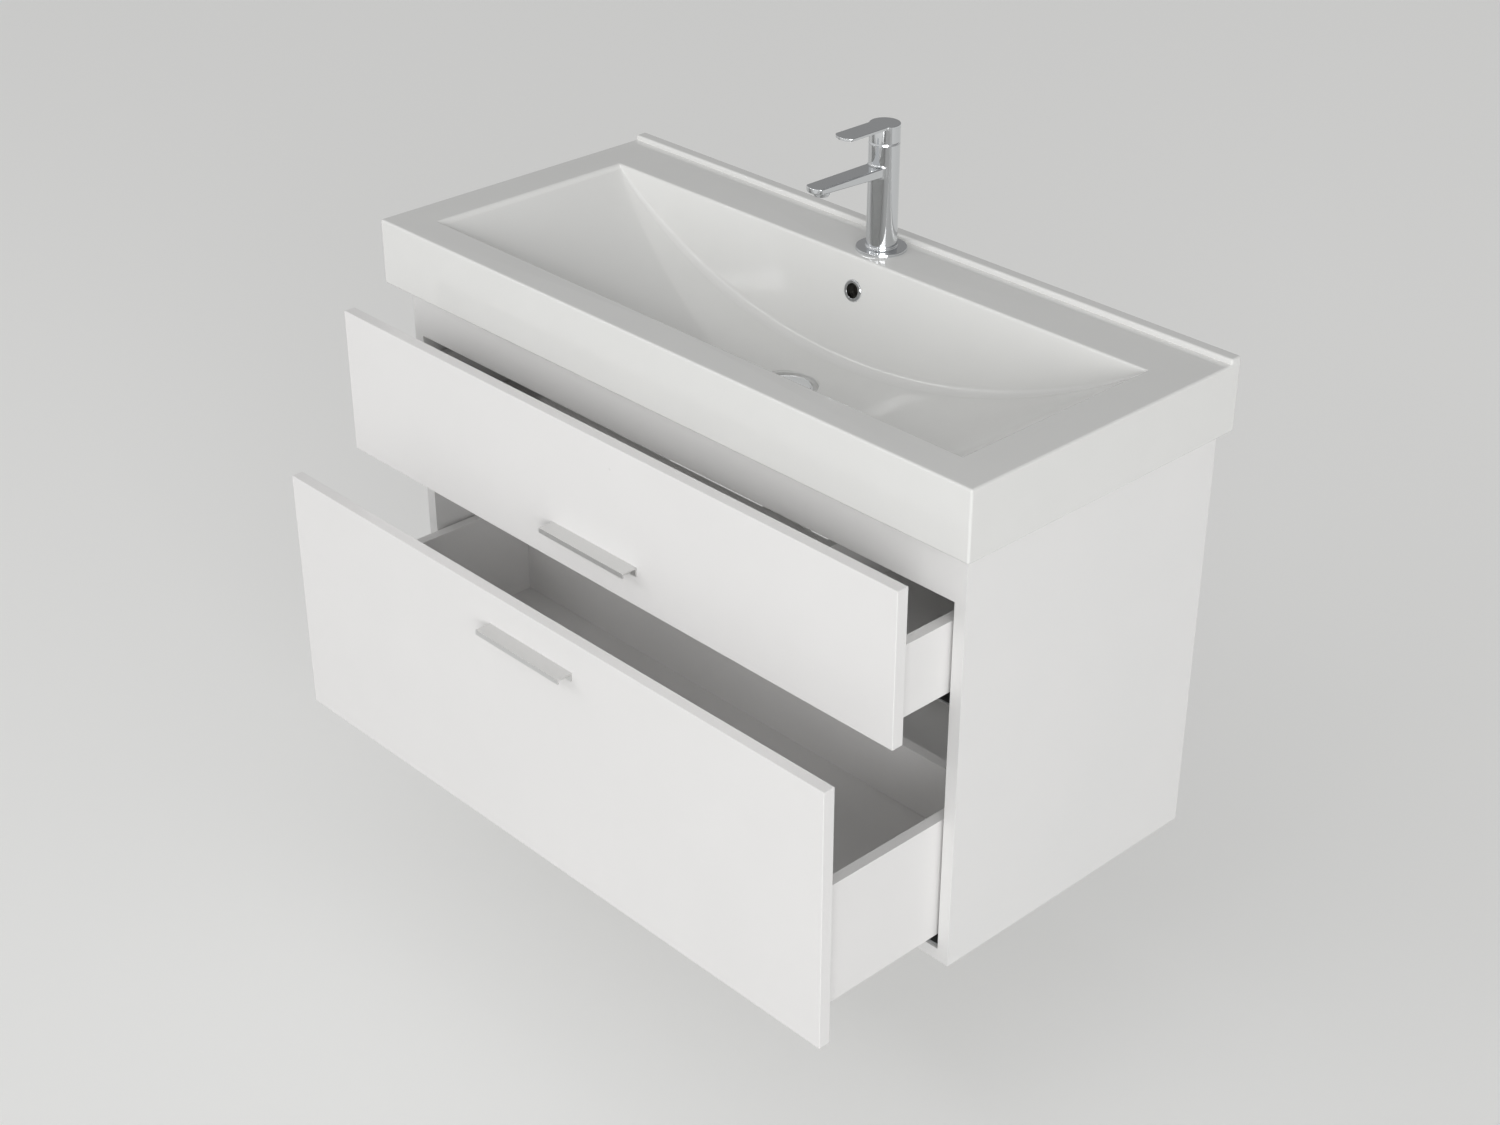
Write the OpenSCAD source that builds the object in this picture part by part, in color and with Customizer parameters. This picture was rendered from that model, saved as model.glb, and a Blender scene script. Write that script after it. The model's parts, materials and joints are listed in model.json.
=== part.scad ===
// Wall-hung vanity: carcass with two drawers on undermount runners, one-piece trough
// washbasin, single-lever mixer, click waste and bottle trap.
// X runs along the wall, the wall is the plane y = 0 and the room is on the -Y side.
// z = 0 is the middle of the hanging screws. All sizes are in millimetres.

/* [Carcass] */
// Width of the carcass over both side panels
cabinet_w = 956; // [820:1:1300]
// Height of the carcass
cabinet_h = 544; // [520:1:620]
// Depth of the carcass from the wall to its front edges
cabinet_d = 418; // [404:1:460]
// Thickness of the carcass boards and of the drawer fronts
board_t = 16; // [15:0.5:19]
// Height of the carcass top above the middle of the hanging screws
hang_drop = 45; // [42:1:60]
// Height of the rail across the front under the washbasin
front_rail_h = 68.5; // [50:0.5:74]
// Height of the rail across the back at the top
top_rail_h = 100; // [80:1:120]
// Height of the rail across the back at the bottom
bottom_rail_h = 80; // [50:1:120]
// Space between the rear rails and the wall
rail_setback = 20; // [19:0.5:28]

/* [Carcass fittings] */
// Diameter of the wooden dowels
dowel_d = 8; // [6:1:8]
// Length of the wooden dowels
dowel_len = 30; // [25:1:35]
// Depth of the dowel holes and bolt holes in the side panels
side_hole_depth = 10.5; // [9:0.5:12]
// Diameter of the cam locks
cam_d = 15; // [12:1:15]
// Distance from a board's end to the cam's centre
cam_reach = 24; // [24:1:34]
// Diameter of the cam bolts
cam_bolt_d = 6; // [5:0.5:7]
// Distance of the bottom panel's front dowels from the carcass front
front_dowel_in = 32; // [28:1:40]
// Distance of the bottom panel's rear dowels from the wall
rear_dowel_in = 60; // [50:1:70]
// Distance of the bottom panel's front cams from the carcass front
front_cam_in = 70; // [62:1:90]
// Distance of the bottom panel's rear cams from the wall
rear_cam_in = 100; // [90:1:120]

/* [Wall hanging] */
// Distance of a wall plate's screw column from the outside of the carcass
hanger_inset = 48; // [48:1:120]
// Distance between the two screws of one wall plate
plate_screw_pitch = 18; // [16:1:20]
// Diameter of the screw holes in the wall plates
plate_hole_d = 6.5; // [5:0.1:8]
// Width of a wall plate
plate_w = 48; // [40:1:56]
// Thickness of the wall plates and of the hook tongues
plate_t = 2.5; // [2:0.1:3]
// Space that a hook tongue drops into behind a plate's lip
hook_gap = 4; // [3.5:0.1:5]

/* [Washbasin] */
// How far the washbasin reaches past the carcass at each side
side_overhang = 22; // [10:0.5:30]
// How far the washbasin reaches past the carcass at the front
front_overhang = 25.5; // [20:0.5:35]
// Height of the washbasin from its underside to the deck
apron_h = 86.5; // [70:0.5:110]
// Thickness of the basin's walls and deck
basin_wall = 12; // [10:0.5:15]
// Width of the flat underside that rests on the carcass
land_w = 45; // [42:0.5:48]
// Height of the low ridge along the wall
ridge_h = 6.5; // [4:0.5:15]
// Thickness of the low ridge along the wall
ridge_t = 17; // [12:0.5:20]
// Radius of the basin's outer edges
basin_edge_r = 3; // [1:0.5:5]
// Deck width at each end of the bowl
side_rim = 57; // [50:0.5:70]
// Deck width in front of the bowl
front_rim = 48.5; // [46:0.5:60]
// Deck width behind the bowl, measured from the wall
back_rim = 95; // [92:0.5:110]
// Depth of the bowl below the deck in the middle
bowl_depth = 132.5; // [110:0.5:138]
// Depth of the bowl right at its two ends
bowl_end_depth = 3.5; // [3:0.5:20]
// Radius of the rounded rim round the bowl
rim_r = 3; // [1:0.5:3]
// Slope of the bowl's front and back walls from the vertical, in degrees
bowl_slope = 10; // [4:0.5:14]
// Radius between walls and floor in the middle of the bowl
crease_r = 15; // [10:1:30]
// Thickness of the bead of sealant under the basin
seal_t = 1; // [0.5:0.1:2]

/* [Waste and trap] */
// Distance of the waste from the wall
waste_y = 215; // [205:1:250]
// Depth of the overflow hole below the deck
overflow_drop = 42; // [32:0.5:50]
// Outer diameter of the overflow ring
overflow_ring_d = 28; // [26:0.5:34]
// Diameter of the waste hole in the bowl
waste_hole_d = 46; // [44:0.5:48]
// Diameter of the waste's flange
waste_flange_d = 66; // [62:0.5:72]
// Diameter of the dish that the flange lies in
dish_d = 78; // [72:1:90]
// Depth of the dish that the flange lies in
dish_depth = 6; // [4:0.5:7]
// Outer diameter of the waste's threaded tail
waste_tail_d = 41.9; // [38:0.1:42]
// Length of the waste below the bowl's floor
waste_len = 87; // [80:1:100]
// Height of the plug's rim above the flange in the modelled pose
plug_lift = 0.3; // [0.3:0.1:8]
// Thickness of the plug's rim
plug_t = 2.4; // [2:0.1:4]
// Outer diameter of the drain pipes
pipe_d = 32; // [30:0.5:32]
// Wall thickness of the drain pipes
pipe_wall = 1.8; // [1.5:0.1:2.5]
// Distance from the waste's end down to the trap's side outlet
outlet_drop = 92; // [86:1:110]
// Outer diameter of the trap's bottle
trap_d = 60; // [56:1:66]
// How far the trap's neck is wider than the pipe
neck_over = 10; // [8:1:12]
// How far the trap's side outlet is wider than the pipe
outlet_over = 8; // [7:1:9]
// How far a trap nut is wider than the thread it screws on
nut_over = 8; // [6:1:10]

/* [Tap] */
// Distance of the tap's axis from the wall
tap_y = 54; // [50:0.5:60]
// Diameter of the tap's base ring
tap_base_d = 64; // [50:0.5:66]
// Thickness of the tap's base ring
tap_base_t = 4; // [3:0.5:6]
// Diameter of the tap's body
tap_d = 38.4; // [36:0.1:42]
// Height of the seam below the lever's cap above the deck
tap_seam_h = 136.5; // [120:0.5:145]
// Total height of the tap above the deck
tap_h = 160.5; // [150:0.5:200]
// Thickness of the lever plate
lever_t = 3.4; // [2.5:0.1:5]
// Reach of the lever from the tap's axis
lever_reach = 76; // [50:0.5:100]
// Width of the lever
lever_w = 29; // [16:0.5:32]
// Radius of the curve at the lever's tip
lever_tip_r = 18; // [17:0.5:40]
// Radius of the hollow curve between the lever and its cap
lever_neck_r = 6; // [3:0.5:12]
// Reach of the spout from the tap's axis
spout_reach = 123.5; // [95:0.5:150]
// Radius of the curve at the spout's tip
spout_tip_r = 17; // [17:0.5:40]
// Width of the spout
spout_w = 26; // [24:0.5:32]
// Thickness of the spout
spout_t = 12; // [10:0.5:18]
// Thickness of the spout at its tip
spout_tip_t = 7; // [6:0.5:12]
// Height of the spout's top above the deck
spout_h = 110; // [95:0.5:125]
// Diameter of the tap hole in the deck
tap_hole_d = 35; // [32:0.5:36]
// Core diameter of the two supply threads in the tap
inlet_d = 9; // [8:0.1:10]

/* [Drawers] */
// Gap between the washbasin and the upper drawer front
top_gap = 7.5; // [4:0.5:12]
// Gap between the two drawer fronts
front_gap = 4.5; // [3:0.5:8]
// Height of the lower front's bottom edge above the carcass bottom
bottom_gap = 1; // [0:0.5:4]
// Height of the upper drawer front
upper_front_h = 192.5; // [185:0.5:215]
// Space between the closed fronts and the carcass
closed_gap = 1.5; // [1:0.1:3]
// Radius of the eased edges of the fronts
front_edge_r = 1; // [0.5:0.1:2]
// Thickness of the drawer box boards
box_t = 14; // [12:0.5:15]
// Length of the drawer boxes
box_len = 340; // [330:1:345]
// Height of the upper drawer box
upper_box_h = 90; // [70:1:92]
// Height of the lower drawer box
lower_box_h = 160; // [120:1:200]
// Height of the lower drawer's back above the lower edge of its sides
lower_back_h = 107; // [60:1:120]
// Height of the upper box above the bottom edge of its front
upper_box_lift = 14; // [14:0.5:20]
// Space between a drawer box and a side panel
box_gap = 5.3; // [5:0.1:6.5]
// Height of a drawer's bottom above the lower edge of its sides
bottom_recess = 13; // [13:0.1:15]
// Thickness of the drawer bottoms
bottom_t = 8; // [6:0.5:10]
// Depth of the groove that holds a drawer bottom
groove_depth = 6; // [4:0.5:7]
// Clearance of a drawer bottom in its grooves
groove_clear = 0.1; // [0.05:0.05:0.3]
// Width of the siphon cut-out in the upper drawer, over its boards
cutout_w = 514; // [400:1:560]
// Depth of the siphon cut-out from the box's rear end
cutout_depth = 218; // [190:1:225]
// How far the upper drawer stands open in the modelled pose
upper_open = 88; // [0:1:340]
// How far the lower drawer stands open in the modelled pose
lower_open = 188; // [0:1:340]

/* [Runners] */
// Space between a runner's cabinet member and the rear bottom rail
runner_rear_gap = 29; // [20:1:34]
// Distance of a runner's front end from the carcass front edge
runner_setback = 3; // [2:0.5:8]
// Thickness of the runner steel
runner_t = 1.5; // [1.2:0.1:1.6]
// Space below a drawer side for the runner's foot
runner_drop = 16; // [15.5:0.5:18]
// Running clearance between the runner members
runner_clear = 0.5; // [0.3:0.1:0.7]
// Distance of a runner's first screw from the carcass front edge
runner_screw_in = 37; // [30:1:40]
// Distance between the screws of one runner
runner_screw_pitch = 128; // [120:1:130]
// Length of the clips that lock the drawers on their runners
clip_len = 24; // [22:1:28]
// How far a clip's release tab stands out towards the drawer's middle
clip_tab = 16; // [12:1:20]

/* [Handles] */
// Length of a handle
handle_len = 150; // [140:1:200]
// Depth of a handle from the front's face
handle_depth = 21.5; // [18:0.5:30]
// Height of a handle's lip
handle_lip = 6.5; // [5:0.5:10]
// Thickness of the handle's flange and lip
handle_t = 2.2; // [1.8:0.1:3]
// Distance between a handle's screws
handle_pitch = 128; // [96:32:128]
// Distance of the upper handle below the upper edge of its front
upper_handle_drop = 140.5; // [40:0.5:150]
// Distance of the lower handle below the upper edge of its front
lower_handle_drop = 41.5; // [30:0.5:200]

/* [Hidden] */
$fn = 64;

// Colours
white_board = "#e9e8e5";
white_box = "#e4e3df";
white_glaze = "#efeeeb";
chrome_grey = "#b9bcc0";
satin_grey = "#c9cacb";
zinc_grey = "#a7abad";
plastic_white = "#dcdcd8";
dark_rubber = "#33353a";
beech = "#c9a26b";
brass_yellow = "#b7985a";

// Carcass
inner_w = cabinet_w - 2 * board_t;
carcass_top = hang_drop;
carcass_bottom = carcass_top - cabinet_h;
top_rail_front = -(rail_setback + board_t);
fit = 0.1;
cam_t = board_t / 2 + 4.5;

// Each board end that is joined to a side panel: [y, z] of a dowel or a cam, and for a cam
// the direction from the board's middle plane to the face that the cam is drilled from
front_rail_y = -cabinet_d + board_t / 2;
rear_rail_y = -rail_setback - board_t / 2;
bottom_z = carcass_bottom + board_t / 2;
dowel_points = [
    [-cabinet_d + front_dowel_in, bottom_z], [-rear_dowel_in, bottom_z],
    [front_rail_y, carcass_top - front_rail_h * 0.27],
    [rear_rail_y, carcass_top - top_rail_h * 0.2],
    [rear_rail_y, carcass_bottom + board_t + bottom_rail_h * 0.75]
];
cam_points = [
    [-cabinet_d + front_cam_in, bottom_z, [0, -1]], [-rear_cam_in, bottom_z, [0, -1]],
    [front_rail_y, carcass_top - front_rail_h * 0.68, [1, 0]],
    [rear_rail_y, carcass_top - top_rail_h * 0.75, [-1, 0]],
    [rear_rail_y, carcass_bottom + board_t + bottom_rail_h * 0.35, [-1, 0]]
];

// Wall hanging
hanger_span = cabinet_w - 2 * hanger_inset;
hanger_peg_d = 8;
plate_h_below = plate_screw_pitch / 2 + 8;
plate_h_above = plate_screw_pitch / 2 + 7;
lip_h = 13;
lip_y = hook_gap + plate_t;
hanger_top = plate_h_above + lip_h + 4;
hanger_peg_y = -(rail_setback + lip_y) / 2;
hanger_peg_z = [-6, 18];

// Washbasin
basin_w = cabinet_w + 2 * side_overhang;
basin_d = cabinet_d + front_overhang;
basin_z = carcass_top + seal_t;
deck_z = basin_z + apron_h;
bowl_w = basin_w - 2 * side_rim;
bowl_front = basin_d - front_rim;
floor_z = deck_z - bowl_depth;
floor_half = bowl_w / 2;
floor_rise = bowl_depth - bowl_end_depth;
floor_r = (floor_half * floor_half + floor_rise * floor_rise) / (2 * floor_rise);
bowl_steps = 40;
crease_steps = 5;

// Waste
boss_d = dish_d + 6;
boss_z = floor_z - basin_wall - 20;
flange_t = 2.5;
waste_seal_t = 1.5;
flange_z = floor_z - dish_depth + waste_seal_t;
waste_bottom = floor_z - waste_len;
waste_bore = waste_tail_d - 6;
plug_d = waste_flange_d - 5;
stem_d = 8;
hub_z = floor_z - 42;
overflow_z = deck_z - overflow_drop;
overflow_y = -back_rim - overflow_drop * tan(bowl_slope);
overflow_tube_d = overflow_ring_d - 5;
duct_w = overflow_ring_d + 20;
duct_inner_w = overflow_ring_d + 4;

// Trap, counted down from the end of the waste
outlet_z = waste_bottom - outlet_drop;
bottle_top = outlet_z + 26;
bottle_bottom = outlet_z - 34;
cup_bottom = bottle_bottom - 32;
nut_h = 20;
mark_w = 3;
neck_d = pipe_d + neck_over;
side_d = pipe_d + outlet_over;
neck_top = bottle_top + 10;
side_end = trap_d / 2 + 24;

// Tap
tap_r = tap_d / 2;
seam_z = deck_z + tap_seam_h;
tap_top = deck_z + tap_h;
pivot_z = seam_z - 3.6;
dome_r = sqrt(tap_r * tap_r + 3.6 * 3.6);
cap_clear = 0.3;
cartridge_d = tap_d - 8;
cartridge_z = pivot_z - 29;
turret_d = 22;
stem_w = 8;
spout_z = deck_z + spout_h;
aerator_d = spout_w - 6;
aerator_y = -tap_y - spout_reach + spout_w / 2 + 5;
deck_bottom = deck_z - basin_wall;
stud_d = 8;
stud_off = 10;
inlet_x = 8.5;
inlet_off = 4;

// Drawers
front_w = cabinet_w;
upper_front_z = basin_z - top_gap - upper_front_h;
lower_front_z = carcass_bottom + bottom_gap;
lower_front_h = upper_front_z - front_gap - lower_front_z;
front_rear_y = -cabinet_d - closed_gap;
upper_box_z = upper_front_z + upper_box_lift;
lower_box_z = carcass_bottom + board_t + runner_drop;
box_w = inner_w - 2 * box_gap;
box_inner_w = box_w - 2 * box_t;
box_rear_y = front_rear_y + box_len;
cross_y = box_rear_y - cutout_depth;

// Runner section: u runs inwards from the side panel, v runs up from the side's lower edge
side_u = box_gap + box_t;
slide_w = 20;
slide_u = side_u + 1.5;
slide_mid = slide_u + slide_w / 2;
slide_low = bottom_recess - 3 * runner_t - 2 * runner_clear;
head_w = slide_w - 2 * runner_t - 2 * runner_clear;
head_v = slide_low + runner_t + runner_clear;
foot_v = -runner_drop + 2;
base_v = foot_v + runner_t + runner_clear;
base_w = 16;
web_t = 2 * runner_t;
lip_w = 3.5;
runner_len = cabinet_d - runner_setback - rail_setback - board_t - runner_rear_gap;
slide_y = front_rear_y + box_t + clip_len;
slide_len = box_len - box_t - clip_len - 2;
middle_len = slide_len;
rail_screw_y = [for (i = [0:2]) -cabinet_d + runner_screw_in + i * runner_screw_pitch];
rail_screw_v = 9;
rail_screw_d = 3.5;
rail_screw_len = 11;

// Handles
web_h = handle_lip + 4.5;
screw_d = 4;
screw_head_d = 8;
front_screw_in = 11;

// ---------------------------------------------------------------- shared shapes

// Rectangle with round corners, its lower left corner at the origin
module round_rect(w, h, r) {
    translate([r, 0]) square([w - 2 * r, h]);
    translate([0, r]) square([w, h - 2 * r]);
    for (x = [r, w - r], y = [r, h - r]) translate([x, y]) circle(r = r);
}

// Extrudes an outline drawn in X and Z along Y, from y0 to y0 + len
module along_y(y0, len) {
    translate([0, y0 + len, 0]) rotate([90, 0, 0]) linear_extrude(len) children();
}

// Extrudes an outline drawn in Y and Z along X, from x0 to x0 + len
module along_x(x0, len) {
    translate([x0, 0, 0]) rotate([90, 0, 90]) linear_extrude(len) children();
}

// Box from corner a to corner b
module block(a, b) {
    translate(a) cube(b - a);
}

// Board with all its edges eased, from corner a to corner b
module eased_board(a, b, r) {
    size = b - a;
    translate(a) intersection() {
        linear_extrude(size.z) round_rect(size.x, size.y, r);
        along_x(0, size.x) round_rect(size.y, size.z, r);
        along_y(0, size.y) round_rect(size.x, size.z, r);
    }
}

// Draws its children at the right and mirrored at the left
module both_sides() {
    for (side = [0, 1]) mirror([side, 0, 0]) children();
}

// Tube along Z from z0, h high
module tube(d, bore, z0, h) {
    translate([0, 0, z0]) difference() {
        cylinder(d = d, h = h);
        translate([0, 0, -1]) cylinder(d = bore, h = h + 2);
    }
}

// Pan-head screw pointing to -Y, its head's underside at the origin
module pan_screw(len) {
    rotate([90, 0, 0]) {
        cylinder(d = screw_d, h = len, $fn = 32);
        difference() {
            translate([0, 0, -2.4]) cylinder(d = screw_head_d, h = 2.4, $fn = 32);
            for (turn = [0, 90]) rotate([0, 0, turn]) translate([-2.2, -0.5, -3]) cube([4.4, 1, 1.8]);
        }
    }
}

// ---------------------------------------------------------------- carcass

// Holes in a side panel's inner face, drawn for the right panel
module side_holes() {
    for (p = dowel_points) translate([inner_w / 2 - 1, p[0], p[1]]) rotate([0, 90, 0])
        cylinder(d = dowel_d + 2 * fit, h = side_hole_depth + 1, $fn = 32);
    for (p = cam_points) translate([inner_w / 2 - 1, p[0], p[1]]) rotate([0, 90, 0])
        cylinder(d = cam_bolt_d - 1 + 2 * fit, h = side_hole_depth + 1, $fn = 32);
    for (z = [upper_box_z, lower_box_z], y = rail_screw_y)
        translate([inner_w / 2 - 1, y, z + rail_screw_v]) rotate([0, 90, 0])
            cylinder(d = rail_screw_d + 2 * fit, h = rail_screw_len + 1, $fn = 24);
    for (z = hanger_peg_z) translate([inner_w / 2 - 1, hanger_peg_y, z]) rotate([0, 90, 0])
        cylinder(d = hanger_peg_d + 2 * fit, h = side_hole_depth + 1, $fn = 32);
}

module side_panel() {
    difference() {
        block([inner_w / 2, -cabinet_d, carcass_bottom], [cabinet_w / 2, 0, carcass_top]);
        side_holes();
    }
}

module left_side_panel() {
    color(white_board) mirror([1, 0, 0]) side_panel();
}

module right_side_panel() {
    color(white_board) side_panel();
}

// Holes that dowels and cams need in the ends of the boards between the side panels
module board_end_holes() {
    both_sides() {
        for (p = dowel_points) translate([inner_w / 2 + 1, p[0], p[1]]) rotate([0, -90, 0])
            cylinder(d = dowel_d + 2 * fit, h = dowel_len - side_hole_depth + 2, $fn = 32);
        for (p = cam_points) translate([inner_w / 2 + 1, p[0], p[1]]) rotate([0, -90, 0])
            cylinder(d = cam_bolt_d + 2 * fit, h = cam_reach + 1, $fn = 32);
        for (p = cam_points) cam_place(p) translate([0, 0, board_t / 2 - cam_t - 0.5])
            cylinder(d = cam_d + 2 * fit, h = cam_t + 2);
    }
}

// Frame at a cam's centre in the board's middle plane, Z pointing to the drilled face
module cam_place(p) {
    translate([inner_w / 2 - cam_reach, p[0], p[1]])
        rotate(p[2].x == 0 ? [0, p[2].y > 0 ? 0 : 180, 0] : [p[2].x > 0 ? -90 : 90, 0, 0])
            children();
}

module bottom_panel() {
    color(white_board) difference() {
        block([-inner_w / 2, -cabinet_d, carcass_bottom],
              [inner_w / 2, 0, carcass_bottom + board_t]);
        board_end_holes();
    }
}

module front_rail() {
    color(white_board) difference() {
        block([-inner_w / 2, -cabinet_d, carcass_top - front_rail_h],
              [inner_w / 2, -cabinet_d + board_t, carcass_top]);
        board_end_holes();
    }
}

// The rear top rail has a hole in front of each hanger's adjusting screw
module rear_top_rail() {
    color(white_board) difference() {
        block([-inner_w / 2, top_rail_front, carcass_top - top_rail_h],
              [inner_w / 2, -rail_setback, carcass_top]);
        board_end_holes();
        both_sides() translate([hanger_span / 2, top_rail_front - 1, 0]) rotate([-90, 0, 0])
            cylinder(d = 12, h = board_t + 2);
    }
}

module rear_bottom_rail() {
    color(white_board) difference() {
        block([-inner_w / 2, top_rail_front, carcass_bottom + board_t],
              [inner_w / 2, -rail_setback, carcass_bottom + board_t + bottom_rail_h]);
        board_end_holes();
    }
}

module carcass_dowels() {
    color(beech) both_sides() for (p = dowel_points)
        translate([inner_w / 2 + side_hole_depth - 0.5, p[0], p[1]]) rotate([0, -90, 0])
            cylinder(d = dowel_d, h = dowel_len, $fn = 32);
}

// Cam with a cross slot in its face and a mouth for the bolt's head
module cam_locks() {
    color(zinc_grey) both_sides() for (p = cam_points) cam_place(p)
        translate([0, 0, board_t / 2 - cam_t]) difference() {
            cylinder(d = cam_d, h = cam_t);
            translate([0, 0, cam_t - board_t / 2]) rotate([0, 90, 0])
                cylinder(d = cam_bolt_d + 1, h = cam_d, $fn = 32);
            translate([0, 0, cam_t - board_t / 2]) rotate([0, -90, 0])
                cylinder(d = cam_bolt_d + 1, h = cam_d, $fn = 32);
            for (turn = [0, 90]) rotate([0, 0, turn])
                translate([-cam_d / 3, -1, cam_t - 2]) cube([cam_d * 2 / 3, 2, 3]);
        }
}

module cam_bolts() {
    color(zinc_grey) both_sides() for (p = cam_points)
        translate([inner_w / 2, p[0], p[1]]) rotate([0, -90, 0]) {
            translate([0, 0, -side_hole_depth + 0.5])
                cylinder(d = cam_bolt_d - 1, h = side_hole_depth, $fn = 32);
            cylinder(d = cam_bolt_d, h = cam_reach - 6, $fn = 32);
            translate([0, 0, cam_reach - 6]) cylinder(d = 3.5, h = 4, $fn = 32);
            translate([0, 0, cam_reach - 2]) cylinder(d = cam_bolt_d, h = 4, $fn = 32);
        }
}

// ---------------------------------------------------------------- wall hanging

// Steel plate on the wall: flat foot with two screw holes, and a lip that stands off the wall
module wall_plates() {
    color(zinc_grey) both_sides() translate([hanger_span / 2, 0, 0]) difference() {
        along_x(-plate_w / 2, plate_w) polygon([
            [0, -plate_h_below], [-plate_t, -plate_h_below], [-plate_t, plate_h_above - plate_t],
            [-lip_y, plate_h_above - plate_t], [-lip_y, plate_h_above + lip_h],
            [-hook_gap, plate_h_above + lip_h], [-hook_gap, plate_h_above], [0, plate_h_above]
        ]);
        for (z = [-1, 1]) translate([0, 1, z * plate_screw_pitch / 2]) rotate([90, 0, 0])
            cylinder(d = plate_hole_d, h = plate_t + 2);
    }
}

// Hanger pegged to the side panel: its hook sits on the plate's lip, its tongue behind it
module cabinet_hangers() {
    body_front = rail_setback - 0.5;
    body_back = lip_y + 0.4;
    tongue_y = hook_gap - 0.4;
    start_x = hanger_span / 2 - plate_w / 2 + 6;
    lip_top = plate_h_above + lip_h;
    color(zinc_grey) both_sides() {
        difference() {
            along_x(start_x, inner_w / 2 - start_x) polygon([
                [-body_front, -plate_h_below], [-body_back, -plate_h_below],
                [-body_back, lip_top], [-tongue_y, lip_top],
                [-tongue_y, plate_h_above + 1], [-tongue_y + plate_t, plate_h_above + 1],
                [-tongue_y + plate_t, hanger_top], [-body_front, hanger_top]
            ]);
            translate([hanger_span / 2, -body_front - 1, 0]) rotate([-90, 0, 0])
                cylinder(d = 6, h = 8, $fn = 32);
        }
        for (z = hanger_peg_z) translate([inner_w / 2 - 1, hanger_peg_y, z]) rotate([0, 90, 0])
            cylinder(d = hanger_peg_d, h = side_hole_depth + 0.5, $fn = 32);
    }
}

// Pan-head screws that hold the cabinet members of the runners on the side panels
module fixing_screws() {
    color(zinc_grey) both_sides() for (z = [upper_box_z, lower_box_z], y = rail_screw_y)
        translate([inner_w / 2 - runner_t, y, z + rail_screw_v]) rotate([0, 90, 0]) {
            cylinder(d = rail_screw_d, h = rail_screw_len, $fn = 24);
            translate([0, 0, -1.6]) cylinder(d = 2 * rail_screw_d, h = 1.6, $fn = 24);
        }
}

// ---------------------------------------------------------------- washbasin

// Depth of the bowl's floor below the deck: an arc from end to end
function floor_drop(x) =
    bowl_depth - (floor_r - sqrt(max(0, floor_r * floor_r - min(abs(x), bowl_w / 2) ^ 2)));

// Radius between walls and floor: wide in the middle, narrow at the ends
function crease_at(drop) = min(crease_r * drop / bowl_depth + 2, drop * 0.7);

// Outline of the bowl across X at a given floor depth, grown by g and closed at z = top
function bowl_section(drop, g, top) =
    let (
        r = crease_at(drop) + g,
        centre_z = deck_z - drop + r - g,
        inset = (deck_z - centre_z) * tan(bowl_slope) + (r - g) / cos(bowl_slope),
        above = (top - deck_z) * tan(bowl_slope) + g / cos(bowl_slope)
    ) concat(
        [[-back_rim + above, top]],
        [for (i = [0:crease_steps]) let (a = -bowl_slope - (90 - bowl_slope) * i / crease_steps)
            [-back_rim - inset + r * cos(a), centre_z + r * sin(a)]],
        [for (i = [0:crease_steps]) let (a = -90 - (90 - bowl_slope) * i / crease_steps)
            [-bowl_front + inset + r * cos(a), centre_z + r * sin(a)]],
        [[-bowl_front - above, top]]
    );

// Trough of the bowl grown by g, closed at z = top: sections lofted along X
module bowl_form(g, top) {
    half = bowl_w / 2 + g;
    rings = [for (i = [0:bowl_steps]) let (t = -cos(180 * i / bowl_steps))
        [for (p = bowl_section(floor_drop(t * bowl_w / 2), g, top)) [t * half, p[0], p[1]]]];
    n = len(rings[0]);
    points = [for (ring = rings) each ring];
    sides = [for (i = [0:bowl_steps - 1], j = [0:n - 1]) let (k = (j + 1) % n)
        each [[i * n + j, i * n + k, (i + 1) * n + j],
              [i * n + k, (i + 1) * n + k, (i + 1) * n + j]]];
    first = [for (j = [n - 1:-1:0]) j];
    last = [for (j = [0:n - 1]) bowl_steps * n + j];
    polyhedron(points, concat([first], sides, [last]));
}

// Outer block of the basin with the ridge along the wall
module basin_block() {
    eased_board([-basin_w / 2, -basin_d, basin_z], [basin_w / 2, 0, deck_z], basin_edge_r);
    eased_board([-basin_w / 2, -ridge_t, deck_z - basin_wall],
                [basin_w / 2, 0, deck_z + ridge_h], basin_edge_r);
}

// Space under the deck, with a flat land left all round for the carcass
module basin_underside() {
    block([-basin_w / 2 + basin_wall, -basin_d + basin_wall, basin_z + basin_wall],
          [basin_w / 2 - basin_wall, -basin_wall, deck_bottom]);
    block([-basin_w / 2 + land_w, -basin_d + land_w, basin_z - 1],
          [basin_w / 2 - land_w, -rail_setback - board_t, deck_bottom]);
}

// Duct that leads the overflow down behind the bowl to the waste, drawn in Y and Z
module overflow_duct(w, grow, end_y) {
    foot_y = -back_rim - bowl_depth * tan(bowl_slope);
    top = overflow_z + overflow_ring_d / 2 + grow;
    low = floor_z - basin_wall - 8 - grow;
    along_x(-w / 2, w) polygon([
        [overflow_y + basin_wall / 2, top], [overflow_y + basin_wall + 8 + grow, top],
        [foot_y + basin_wall + 8 + grow, floor_z + 4], [foot_y + basin_wall + grow, low],
        [end_y, low], [end_y, floor_z - basin_wall + 2],
        [foot_y + 2, floor_z - basin_wall + 2], [foot_y + basin_wall / 2, floor_z]
    ]);
}

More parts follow.
